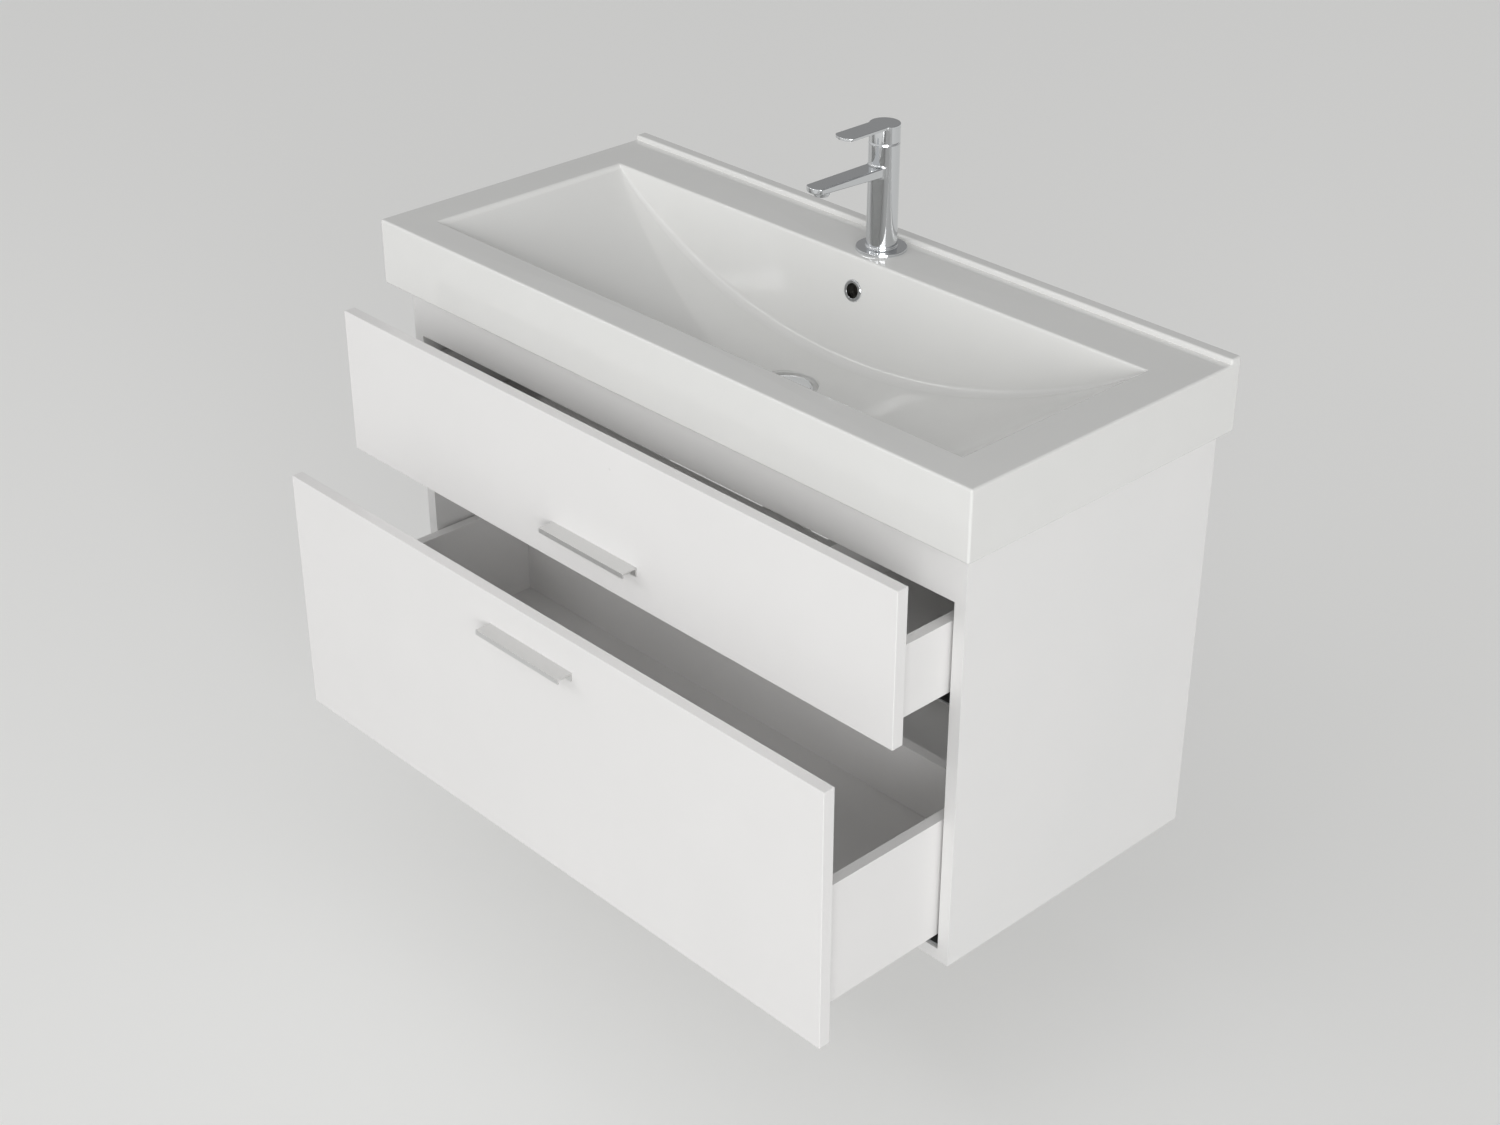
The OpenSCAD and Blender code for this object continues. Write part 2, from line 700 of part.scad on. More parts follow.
// Rounds the deck's edge along one side of the bowl: len long, its wall leaning by slope
module rim_cutter(len, slope) {
    c = rim_r * (1 - sin(slope)) / cos(slope);
    along_x(-len / 2 - rim_r, len + 2 * rim_r) difference() {
        translate([-0.5, -rim_r * 0.8]) square([c + 0.5, rim_r + 1]);
        translate([c, -rim_r]) circle(r = rim_r);
    }
}

// Rounding of the rim, along both long sides and both ends of the bowl
module bowl_rim() {
    bowl_l = bowl_front - back_rim;
    translate([0, -(bowl_front + back_rim) / 2, deck_z]) {
        for (turn = [0, 180]) rotate([0, 0, turn])
            translate([0, bowl_l / 2, 0]) rim_cutter(bowl_w, bowl_slope);
        for (turn = [90, 270]) rotate([0, 0, turn])
            translate([0, bowl_w / 2, 0]) rim_cutter(bowl_l, 0.5);
    }
}

module washbasin() {
    color(white_glaze) difference() {
        union() {
            difference() {
                basin_block();
                basin_underside();
            }
            bowl_form(basin_wall, deck_z - 1);
            translate([0, -waste_y, boss_z]) cylinder(d = boss_d, h = floor_z - boss_z);
            overflow_duct(duct_w, 5, -waste_y + boss_d / 4);
        }
        bowl_form(0, deck_z + 2);
        bowl_rim();
        overflow_duct(duct_inner_w, 0, -waste_y + waste_hole_d / 4);
        translate([0, overflow_y, overflow_z]) rotate([-90 - bowl_slope, 0, 0])
            translate([0, 0, -2]) cylinder(d = overflow_tube_d + 1, h = basin_wall + 4);
        translate([0, -waste_y, boss_z - 1]) cylinder(d = waste_hole_d, h = floor_z - boss_z + 10);
        translate([0, -waste_y, floor_z - dish_depth]) cylinder(d = dish_d, h = dish_depth + 4);
        translate([0, -tap_y, deck_bottom - 1]) cylinder(d = tap_hole_d, h = basin_wall + 2);
    }
}

// Bead of sealant on the carcass's upper edges
module basin_seal() {
    bead = 6;
    edge = (board_t - bead) / 2;
    color(plastic_white) difference() {
        block([-cabinet_w / 2 + edge, -cabinet_d + edge, carcass_top],
              [cabinet_w / 2 - edge, -rail_setback - edge, basin_z]);
        block([-cabinet_w / 2 + edge + bead, -cabinet_d + edge + bead, carcass_top - 1],
              [cabinet_w / 2 - edge - bead, -rail_setback - edge - bead, basin_z + 1]);
    }
}

// ---------------------------------------------------------------- waste

// Chrome ring pressed into the overflow hole, its collar on the bowl's back wall
module overflow_ring() {
    color(chrome_grey) translate([0, overflow_y, overflow_z]) rotate([-90 - bowl_slope, 0, 0])
        rotate_extrude() polygon([
            [overflow_tube_d / 2 - 2, -1.6], [overflow_ring_d / 2 - 1, -1.6],
            [overflow_ring_d / 2, -0.6], [overflow_ring_d / 2, -0.1],
            [overflow_tube_d / 2, -0.1], [overflow_tube_d / 2, basin_wall],
            [overflow_tube_d / 2 - 2, basin_wall]
        ]);
}

// Flange and threaded tail in one, with overflow slots and a hub for the plug's stem
module waste_body() {
    color(chrome_grey) translate([0, -waste_y, 0]) {
        difference() {
            union() {
                translate([0, 0, flange_z]) rotate_extrude() polygon([
                    [waste_bore / 2, 0], [waste_flange_d / 2, 0],
                    [waste_flange_d / 2, 1], [waste_flange_d / 2 - 3, flange_t],
                    [waste_bore / 2 + 4, flange_t], [waste_bore / 2, flange_t - 1]
                ]);
                tube(waste_tail_d, waste_bore, waste_bottom, flange_z - waste_bottom + 0.5);
            }
            for (turn = [0, 90]) rotate([0, 0, turn])
                translate([-6, -waste_tail_d, floor_z - basin_wall - 7])
                    cube([12, 2 * waste_tail_d, 9]);
        }
        difference() {
            union() {
                translate([0, 0, hub_z]) cylinder(d = stem_d + 8, h = 14);
                for (turn = [0, 120, 240]) rotate([0, 0, turn])
                    translate([0, -1.5, hub_z]) cube([waste_bore / 2 + 1, 3, 8]);
            }
            translate([0, 0, hub_z - 1]) cylinder(d = stem_d + 0.1, h = 16);
        }
    }
}

// Rubber rings: under the flange, under the boss and inside the trap's three nuts
module drain_seals() {
    ring_t = 1;
    color(dark_rubber) translate([0, -waste_y, 0]) {
        tube(waste_flange_d - 2, waste_hole_d - 1, floor_z - dish_depth, waste_seal_t);
        tube(waste_hole_d + 16, waste_tail_d + 0.4, boss_z - 4, 4);
        tube(waste_tail_d - 1, pipe_d + 0.6, waste_bottom - ring_t, ring_t);
        tube(pipe_d + 9, pipe_d + 0.6, neck_top, ring_t);
        translate([0, side_end, outlet_z]) rotate([-90, 0, 0])
            tube(pipe_d + 7, pipe_d + 0.6, 0, ring_t);
    }
}

// Six-sided outline minus a round bore, h high from z0
module hex_nut(across, bore, z0, h) {
    translate([0, 0, z0]) difference() {
        cylinder(d = across / cos(30), h = h, $fn = 6);
        translate([0, 0, -1]) cylinder(d = bore, h = h + 2);
    }
}

module waste_nut() {
    color(chrome_grey) translate([0, -waste_y, 0])
        hex_nut(waste_hole_d + 12, waste_tail_d + 0.2, boss_z - 14, 10);
}

// Domed plug on its stem, standing shut in the flange
module waste_plug() {
    rim_z = flange_z + flange_t + plug_lift;
    dome_z = rim_z + plug_t / 2;
    stem_bottom = hub_z - 4;
    color(chrome_grey) translate([0, -waste_y, 0]) rotate_extrude() polygon(concat(
        [[0, stem_bottom], [stem_d / 2, stem_bottom], [stem_d / 2, rim_z],
         [plug_d / 2 - 2, rim_z], [plug_d / 2, dome_z]],
        [for (a = [15:15:90]) [plug_d / 2 * cos(a), dome_z + plug_t * sin(a)]]
    ));
}

// ---------------------------------------------------------------- trap

// Dip tube with a collar that the upper nut holds against the waste
module trap_inlet_pipe() {
    bottom = outlet_z - 22;
    color(plastic_white) translate([0, -waste_y, 0]) {
        tube(pipe_d, pipe_d - 2 * pipe_wall, bottom, waste_bottom - 1 - bottom);
        tube(waste_tail_d, pipe_d - 1, waste_bottom - 3.5, 2.5);
    }
}

// Nut with grip ribs: bore above for the thread, smaller bore below for the pipe
module ribbed_nut(d, thread_d, bore, h, lip) {
    ribs = 20;
    difference() {
        union() {
            cylinder(d = d - 3, h = h);
            for (i = [0:ribs - 1]) rotate([0, 0, i * 360 / ribs])
                translate([d / 2 - 4, -1.2, 2]) cube([4, 2.4, h - 3]);
        }
        translate([0, 0, lip]) cylinder(d = thread_d, h = h);
        translate([0, 0, -1]) cylinder(d = bore, h = lip + 2);
    }
}

module trap_nuts() {
    color(plastic_white) {
        translate([0, -waste_y, waste_bottom - 6.5])
            ribbed_nut(waste_tail_d + nut_over + 1, waste_tail_d + 0.4, pipe_d + 0.6, nut_h, 3);
        translate([0, -waste_y, neck_top + 4]) mirror([0, 0, 1])
            ribbed_nut(neck_d + nut_over, neck_d + 0.4, pipe_d + 0.6, nut_h, 3);
        translate([0, -waste_y + side_end + 4, outlet_z]) rotate([90, 0, 0])
            ribbed_nut(side_d + nut_over, side_d + 0.4, pipe_d + 0.6, nut_h, 3);
    }
}

// Bottle with a threaded neck on top, a threaded side outlet and an open lower end
module trap_body() {
    shoulder_z = bottle_top - 14;
    color(plastic_white) translate([0, -waste_y, 0]) difference() {
        union() {
            rotate_extrude() polygon([
                [0, bottle_bottom], [trap_d / 2, bottle_bottom], [trap_d / 2, shoulder_z - 6],
                [trap_d / 2 - 6, shoulder_z], [neck_d / 2, shoulder_z],
                [neck_d / 2, neck_top], [0, neck_top]
            ]);
            translate([0, 0, outlet_z]) rotate([-90, 0, 0]) cylinder(d = side_d, h = side_end);
        }
        translate([0, 0, bottle_bottom - 1])
            cylinder(d = trap_d - 5, h = shoulder_z - 8 - bottle_bottom + 1);
        translate([0, 0, outlet_z]) cylinder(d = pipe_d + 0.6, h = neck_top - outlet_z + 1);
        translate([0, 0, outlet_z]) rotate([-90, 0, 0])
            cylinder(d = pipe_d + 0.6, h = trap_d / 2 + 60);
    }
}

// Screw-on cup with a hollow and grip ribs round its foot
module trap_cup() {
    ribs = 24;
    color(plastic_white) translate([0, -waste_y, 0]) difference() {
        union() {
            rotate_extrude() polygon([
                [0, cup_bottom], [trap_d / 2 - 10, cup_bottom], [trap_d / 2 - 2, cup_bottom + 8],
                [trap_d / 2 + 3, cup_bottom + 12], [trap_d / 2 + 3, bottle_bottom + 10],
                [0, bottle_bottom + 10]
            ]);
            for (i = [0:ribs - 1]) rotate([0, 0, i * 360 / ribs])
                translate([trap_d / 2, -1.2, cup_bottom + 16]) cube([4.5, 2.4, 22]);
        }
        translate([0, 0, bottle_bottom]) cylinder(d = trap_d + 0.4, h = 20);
        translate([0, 0, cup_bottom + 6]) cylinder(d = trap_d - 16, h = 60);
    }
}

// Drain pipe to the wall, with a shallow ring cut beside the nut that marks how far it goes in
module trap_outlet_pipe() {
    start_y = -waste_y + trap_d / 2 + 10;
    mark_y = -waste_y + side_end + 5;
    color(plastic_white) translate([0, 0, outlet_z]) rotate([-90, 0, 0]) difference() {
        translate([0, 0, start_y]) cylinder(d = pipe_d, h = -start_y);
        translate([0, 0, start_y - 1]) cylinder(d = pipe_d - 2 * pipe_wall, h = 2 - start_y);
        translate([0, 0, mark_y]) difference() {
            cylinder(d = pipe_d + 4, h = mark_w);
            translate([0, 0, -1]) cylinder(d = pipe_d - 1, h = mark_w + 2);
        }
    }
}

// ---------------------------------------------------------------- tap

module tap_base_ring() {
    color(chrome_grey) translate([0, -tap_y, deck_z]) rotate_extrude() polygon([
        [tap_r + 0.15, 0], [tap_base_d / 2, 0], [tap_base_d / 2, tap_base_t - 1.4],
        [tap_base_d / 2 - 0.5, tap_base_t - 0.4], [tap_base_d / 2 - 1.5, tap_base_t],
        [tap_r + 0.15, tap_base_t]
    ]);
}

// Body turned from bar, flat spout, cartridge bore and two supply threads
module tap_body() {
    foot_r = tap_r + 1.2;
    color(chrome_grey) translate([0, -tap_y, 0]) difference() {
        union() {
            rotate_extrude() polygon([
                [0, deck_z], [tap_r, deck_z], [tap_r, deck_z + tap_base_t],
                [foot_r, deck_z + tap_base_t], [foot_r, deck_z + tap_base_t + 1.5],
                [tap_r, deck_z + tap_base_t + 3.5], [tap_r, seam_z], [0, seam_z]
            ]);
            translate([0, 0, spout_z - spout_t]) spout_outline();
        }
        translate([0, 0, cartridge_z - 0.3]) cylinder(d = cartridge_d + 0.4, h = 60);
        translate([0, aerator_y + tap_y, spout_z - spout_t - 1])
            cylinder(d = aerator_d + 0.2, h = spout_t - 2);
        translate([0, 0, spout_z - spout_tip_t / 2 - 1]) rotate([90, 0, 0])
            cylinder(d = spout_tip_t - 2, h = -aerator_y - tap_y);
        translate([0, -stud_off, deck_z - 1]) cylinder(d = stud_d + 0.1, h = 15);
        both_sides() translate([inlet_x, inlet_off, deck_z - 1]) cylinder(d = inlet_d, h = 13);
    }
}

// Flat bar with a curved tip and eased edges, its underside rising towards the tip
module spout_outline() {
    hub = spout_reach - spout_tip_r;
    intersection() {
        along_x(-spout_w, 2 * spout_w) polygon([
            [0, -1], [-tap_r, -1], [-tap_r, 0], [-spout_reach - 1, spout_t - spout_tip_t],
            [-spout_reach - 1, spout_t + 1], [0, spout_t + 1]
        ]);
        union() {
            translate([-spout_w / 2, -hub, 0]) cube([spout_w, hub, spout_t]);
            translate([0, -hub, 0]) cylinder(r = spout_tip_r, h = spout_t);
        }
        translate([-spout_w / 2, 0, 0]) along_y(-spout_reach - 1, spout_reach + 1)
            round_rect(spout_w, spout_t, 1.5);
    }
}

module tap_aerator() {
    low = spout_z - spout_t - 1.6;
    color(chrome_grey) translate([0, aerator_y, 0]) difference() {
        union() {
            translate([0, 0, low]) cylinder(d = aerator_d - 2, h = 2);
            translate([0, 0, low + 1.6]) cylinder(d = aerator_d, h = 7);
        }
        translate([0, 0, low - 1]) cylinder(d = aerator_d - 6, h = 5);
    }
}

module tap_cartridge() {
    color(plastic_white) translate([0, -tap_y, 0])
        tube(cartridge_d, 5, cartridge_z, pivot_z - 8 - cartridge_z);
}

// Domed nut that holds the cartridge down: a sphere about the lever's pivot, bored
module tap_dome_nut() {
    color(chrome_grey) translate([0, -tap_y, pivot_z]) difference() {
        union() {
            intersection() {
                sphere(r = dome_r, $fn = 96);
                translate([0, 0, seam_z - pivot_z]) cylinder(r = dome_r, h = 9.5);
            }
            translate([0, 0, -8]) cylinder(d = cartridge_d, h = seam_z - pivot_z + 8.5);
        }
        translate([0, 0, -9]) cylinder(d = turret_d + 0.1, h = 40);
    }
}

// Turret that turns in the cartridge nut, forked for the stem
module tap_turret() {
    color(plastic_white) translate([0, -tap_y, pivot_z]) difference() {
        translate([0, 0, -7.7]) cylinder(d = turret_d, h = 11.7);
        translate([-stem_w / 2 - 0.3, -turret_d, -4.5]) cube([stem_w + 0.6, 2 * turret_d, 20]);
    }
}

// Square stem between the turret's cheeks, round at its foot, carrying the lever's cap
module tap_lever_stem() {
    color(brass_yellow) translate([0, -tap_y, pivot_z]) {
        translate([-stem_w / 2, -stem_w / 2, 0]) cube([stem_w, stem_w, 20]);
        translate([-stem_w / 2, 0, 0]) rotate([0, 90, 0]) cylinder(d = stem_w, h = stem_w);
    }
}

// Plate of the lever: the cap's circle and a bar with a curved tip, joined by hollow curves
// that cross both by a hair
module lever_plate() {
    hub = lever_reach - lever_tip_r;
    reach = tap_r + lever_neck_r - 0.02;
    x = lever_w / 2 + lever_neck_r - 0.02;
    y = sqrt(reach * reach - x * x);
    cylinder(r = tap_r, h = lever_t);
    translate([-lever_w / 2, -hub, 0]) cube([lever_w, hub, lever_t]);
    intersection() {
        translate([0, -hub, 0]) cylinder(r = lever_tip_r, h = lever_t);
        translate([-lever_w / 2, -lever_reach - 1, 0]) cube([lever_w, lever_reach + 1, lever_t]);
    }
    difference() {
        linear_extrude(lever_t) polygon([
            [0, 0], [x, -y] * tap_r / reach, [x, -y], [-x, -y], [-x, -y] * tap_r / reach
        ]);
        both_sides() translate([x, -y, -1]) cylinder(r = lever_neck_r, h = lever_t + 2);
    }
}

// Lever cap with a spherical hollow about the pivot, and the flat lever on top
module tap_handle() {
    color(chrome_grey) translate([0, -tap_y, 0]) difference() {
        union() {
            translate([0, 0, seam_z + 0.3]) cylinder(r = tap_r, h = tap_top - lever_t - seam_z);
            translate([0, 0, tap_top - lever_t]) lever_plate();
        }
        translate([0, 0, pivot_z]) sphere(r = dome_r + cap_clear, $fn = 96);
        translate([-stem_w / 2 - 0.05, -stem_w / 2 - 0.05, pivot_z])
            cube([stem_w + 0.1, stem_w + 0.1, 20.1]);
    }
}

module tap_stud() {
    color(brass_yellow) translate([0, -tap_y - stud_off, deck_bottom - 42])
        cylinder(d = stud_d, h = 42 + basin_wall + 13, $fn = 32);
}

// Horseshoe that spreads the nut's pull under the deck, open round the supplies
module tap_clamp_washer() {
    color(zinc_grey) translate([0, -tap_y, deck_bottom - 3]) difference() {
        cylinder(d = tap_hole_d + 14, h = 3);
        translate([-tap_hole_d / 2 + 1, inlet_off - 8, -1]) cube([tap_hole_d - 2, 60, 5]);
        translate([0, -stud_off, -1]) cylinder(d = stud_d + 0.6, h = 5, $fn = 32);
    }
}

module tap_nut() {
    color(brass_yellow) translate([0, -tap_y - stud_off, 0])
        hex_nut(13, stud_d + 0.1, deck_bottom - 3 - 12, 12);
}

// ---------------------------------------------------------------- runners

// Frame of a runner at both side panels: X runs inwards, Z up from the drawer side's edge
module runner_frame(z) {
    both_sides() translate([inner_w / 2, 0, z]) mirror([1, 0, 0]) children();
}

// Cabinet member: flange on the side panel, foot, and two guides whose lips hold the middle
module cabinet_member() {
    guide_u = base_w / 2 + runner_clear;
    lip_v = base_v + runner_t + runner_clear;
    difference() {
        along_y(-cabinet_d + runner_setback, runner_len) {
            translate([0, foot_v]) square([runner_t, 30]);
            translate([0, foot_v]) square([slide_mid + guide_u + runner_t, runner_t]);
            for (side = [0, 1]) translate([slide_mid, 0]) mirror([side, 0]) {
                translate([guide_u, foot_v]) square([runner_t, lip_v + runner_t - foot_v]);
                translate([guide_u - lip_w, lip_v]) square([lip_w + 1, runner_t]);
            }
        }
        for (y = rail_screw_y) translate([-1, y, rail_screw_v]) rotate([0, 90, 0])
            cylinder(d = rail_screw_d + 0.6, h = runner_t + 2, $fn = 24);
    }
}

// Middle member: its base runs under the guides' lips, its head inside the drawer member
module middle_member() {
    along_y(slide_y + 1, middle_len) {
        translate([slide_mid - base_w / 2, base_v]) square([base_w, runner_t]);
        translate([slide_mid - web_t / 2, base_v]) square([web_t, head_v - base_v + runner_t]);
        translate([slide_mid - head_w / 2, head_v]) square([head_w, runner_t]);
    }
}

// Drawer member: channel under the drawer bottom, its lips under the middle member's head
module drawer_member() {
    along_y(slide_y, slide_len) {
        translate([slide_u, bottom_recess - runner_t]) square([slide_w, runner_t]);
        for (side = [0, 1]) translate([slide_mid, 0]) mirror([side, 0]) {
            translate([slide_w / 2 - runner_t, slide_low])
                square([runner_t, bottom_recess - slide_low]);
            translate([slide_w / 2 - runner_t - lip_w, slide_low])
                square([lip_w + 1, runner_t]);
        }
    }
}

// Clip that locks a drawer on its runner, with a release tab at the front
module runner_clip() {
    y0 = front_rear_y + box_t;
    body_end = slide_u + slide_w + 6;
    difference() {
        union() {
            block([side_u + 0.3, y0, 1.5], [body_end, y0 + clip_len, bottom_recess]);
            block([body_end, y0 + clip_len / 6, 3], [body_end + clip_tab, y0 + clip_len * 2 / 3, 7]);
        }
        block([slide_u + 4, y0 + 10, 0], [slide_u + slide_w - 4, y0 + clip_len, 7]);
    }
}

module upper_runner_rails() {
    color(zinc_grey) runner_frame(upper_box_z) cabinet_member();
}

module lower_runner_rails() {
    color(zinc_grey) runner_frame(lower_box_z) cabinet_member();
}

module upper_runner_middles() {
    color(zinc_grey) translate([0, -upper_open / 2, 0]) runner_frame(upper_box_z) middle_member();
}

module lower_runner_middles() {
    color(zinc_grey) translate([0, -lower_open / 2, 0]) runner_frame(lower_box_z) middle_member();
}

module upper_runner_slides() {
    color(zinc_grey) translate([0, -upper_open, 0]) runner_frame(upper_box_z) drawer_member();
}

module lower_runner_slides() {
    color(zinc_grey) translate([0, -lower_open, 0]) runner_frame(lower_box_z) drawer_member();
}

module upper_runner_clips() {
    color(satin_grey) translate([0, -upper_open, 0]) runner_frame(upper_box_z) runner_clip();
}

module lower_runner_clips() {
    color(satin_grey) translate([0, -lower_open, 0]) runner_frame(lower_box_z) runner_clip();
}

// ---------------------------------------------------------------- drawers, drawn closed

// Clearance holes for a handle's two screws at height z
module handle_holes(z) {
    both_sides() translate([handle_pitch / 2, front_rear_y + box_t + 1, z]) rotate([90, 0, 0])
        cylinder(d = screw_d + 0.5, h = board_t + box_t + 2, $fn = 32);
}

function handle_screw_z(top) = top - web_h / 2 - 1;

// Groove for the drawer bottom, cut into the boards round it
module bottom_groove(z) {
    block([-box_inner_w / 2 - groove_depth, front_rear_y + box_t - groove_depth,
           z + bottom_recess - groove_clear],
          [box_inner_w / 2 + groove_depth, box_rear_y + 1,
           z + bottom_recess + bottom_t + groove_clear]);
}

module drawer_front(z, h, handle_z, box_z, box_h) {
    difference() {
        eased_board([-front_w / 2, front_rear_y - board_t, z],
                    [front_w / 2, front_rear_y, z + h], front_edge_r);
        handle_holes(handle_screw_z(handle_z));
        front_screw_places(box_z, box_h) rotate([90, 0, 0])
            cylinder(d = screw_d + 0.2, h = box_t + front_screw_in + 0.5, $fn = 32);
    }
}

module box_side(z, h) {
    difference() {
        block([box_w / 2 - box_t, front_rear_y, z], [box_w / 2, box_rear_y, z + h]);
        bottom_groove(z);
    }
}

module inner_front(z, h, handle_z) {
    difference() {
        block([-box_inner_w / 2, front_rear_y, z], [box_inner_w / 2, front_rear_y + box_t, z + h]);
        bottom_groove(z);
        handle_holes(handle_screw_z(handle_z));
        front_screw_places(z, h) rotate([90, 0, 0])
            translate([0, 0, -1]) cylinder(d = screw_d + 0.2, h = box_t + 2, $fn = 32);
    }
}

// Board of the drawer bottom, one groove's clearance short of the groove's floor all round
module drawer_bottom(z) {
    inset = groove_depth - groove_clear;
    block([-box_inner_w / 2 - inset, front_rear_y + box_t - inset, z + bottom_recess],
          [box_inner_w / 2 + inset, box_rear_y, z + bottom_recess + bottom_t]);
}

// Places of the screws that pull the front onto the inner front
module front_screw_places(z, h) {
    for (x = [-1, -0.4, 0.4, 1])
        translate([x * (box_inner_w / 2 - 60), front_rear_y + box_t, z + h * 0.7]) children();
}

module front_screws(z, h) {
    front_screw_places(z, h) pan_screw(box_t + front_screw_in);
}

// Upper drawer
upper_box_top = upper_box_z + upper_box_h;
upper_handle_z = upper_front_z + upper_front_h - upper_handle_drop;

module upper_pose() {
    translate([0, -upper_open, 0]) children();
}

module upper_front() {
    color(white_board) upper_pose()
        drawer_front(upper_front_z, upper_front_h, upper_handle_z, upper_box_z, upper_box_h);
}

module upper_left_side() {
    color(white_box) upper_pose() mirror([1, 0, 0]) box_side(upper_box_z, upper_box_h);
}

module upper_right_side() {
    color(white_box) upper_pose() box_side(upper_box_z, upper_box_h);
}

module upper_inner_front() {
    color(white_box) upper_pose() inner_front(upper_box_z, upper_box_h, upper_handle_z);
}

// Two short boards that close the box on either side of the siphon cut-out
module upper_back() {
    color(white_box) upper_pose() both_sides()
        block([cutout_w / 2, box_rear_y - box_t, upper_box_z + bottom_recess + bottom_t],
              [box_inner_w / 2, box_rear_y, upper_box_top]);
}

// Three boards round the siphon cut-out, standing on the drawer bottom
module upper_cutout() {
    low = upper_box_z + bottom_recess + bottom_t;
    color(white_box) upper_pose() {
        both_sides() block([cutout_w / 2 - box_t, cross_y, low],
                           [cutout_w / 2, box_rear_y, upper_box_top]);
        block([-cutout_w / 2, cross_y - box_t, low], [cutout_w / 2, cross_y, upper_box_top]);
    }
}

module upper_bottom() {
    color(white_box) upper_pose() difference() {
        drawer_bottom(upper_box_z);
        block([-cutout_w / 2 + box_t, cross_y, upper_box_z],
              [cutout_w / 2 - box_t, box_rear_y + 1, upper_box_top]);
    }
}

// Lower drawer
lower_handle_z = lower_front_z + lower_front_h - lower_handle_drop;

module lower_pose() {
    translate([0, -lower_open, 0]) children();
}

module lower_front() {
    color(white_board) lower_pose()
        drawer_front(lower_front_z, lower_front_h, lower_handle_z, lower_box_z, lower_box_h);
}

module lower_left_side() {
    color(white_box) lower_pose() mirror([1, 0, 0]) box_side(lower_box_z, lower_box_h);
}

module lower_right_side() {
    color(white_box) lower_pose() box_side(lower_box_z, lower_box_h);
}

module lower_inner_front() {
    color(white_box) lower_pose() inner_front(lower_box_z, lower_box_h, lower_handle_z);
}

module lower_back() {
    color(white_box) lower_pose()
        block([-box_inner_w / 2, box_rear_y - box_t, lower_box_z + bottom_recess + bottom_t],
              [box_inner_w / 2, box_rear_y, lower_box_z + lower_back_h]);
}

module lower_bottom() {
    color(white_box) lower_pose() drawer_bottom(lower_box_z);
}

// ---------------------------------------------------------------- handles

// Extruded profile: web on the front, flange above, lip hanging down at the front edge
module handle(top) {
    face_y = front_rear_y - board_t;
    boss_len = 7;
    difference() {
        union() {
            along_x(-handle_len / 2, handle_len) translate([face_y, top]) {
                translate([-handle_depth, -handle_t]) square([handle_depth, handle_t]);
                translate([-handle_depth, -handle_lip]) square([handle_t, handle_lip]);
                translate([-handle_t, -web_h]) square([handle_t, web_h]);
            }
            both_sides() translate([handle_pitch / 2, face_y, handle_screw_z(top)])
                rotate([90, 0, 0]) cylinder(d = 8, h = boss_len, $fn = 32);
        }
        both_sides() translate([handle_pitch / 2, face_y + 1, handle_screw_z(top)])
            rotate([90, 0, 0]) cylinder(d = screw_d + 0.1, h = boss_len, $fn = 32);
    }
}

module handle_screws(top, head_y) {
    both_sides() translate([handle_pitch / 2, head_y, handle_screw_z(top)])
        pan_screw(head_y - front_rear_y + board_t + 5);
}

module upper_handle() {
    color(satin_grey) upper_pose() handle(upper_handle_z);
}

module lower_handle() {
    color(satin_grey) lower_pose() handle(lower_handle_z);
}

module upper_screws() {
    color(zinc_grey) upper_pose() {
        handle_screws(upper_handle_z, front_rear_y + box_t);
        front_screws(upper_box_z, upper_box_h);
    }
}

module lower_screws() {
    color(zinc_grey) lower_pose() {
        handle_screws(lower_handle_z, front_rear_y);
        front_screws(lower_box_z, lower_box_h);
    }
}

left_side_panel();
right_side_panel();
bottom_panel();
front_rail();
rear_top_rail();
rear_bottom_rail();
carcass_dowels();
cam_locks();
cam_bolts();
cabinet_hangers();
wall_plates();
basin_seal();
washbasin();
overflow_ring();
waste_body();
drain_seals();
waste_nut();
waste_plug();
trap_inlet_pipe();
trap_nuts();
trap_body();
trap_cup();
trap_outlet_pipe();
tap_base_ring();
tap_body();
tap_aerator();
tap_cartridge();
tap_dome_nut();
tap_turret();
tap_lever_stem();
tap_handle();
tap_stud();
tap_clamp_washer();
tap_nut();
fixing_screws();
upper_runner_rails();
upper_runner_middles();
upper_runner_slides();
upper_runner_clips();
lower_runner_rails();
lower_runner_middles();
lower_runner_slides();
lower_runner_clips();
upper_front();
upper_left_side();
upper_right_side();
upper_inner_front();
upper_back();
upper_cutout();
upper_bottom();
upper_handle();
upper_screws();
lower_front();
lower_left_side();
lower_right_side();
lower_inner_front();
lower_back();
lower_bottom();
lower_handle();
lower_screws();
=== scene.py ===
"""A wall-hung bathroom vanity: white drawer cabinet, glazed trough washbasin, chrome mixer,
satin bar handles. Everything is in metres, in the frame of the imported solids: X along the
wall, the wall at y = 0, the room towards -Y, z = 0 at the middle of the hanging screws."""
import json

import bmesh
import bpy
import numpy as np
from mathutils import Matrix, Vector

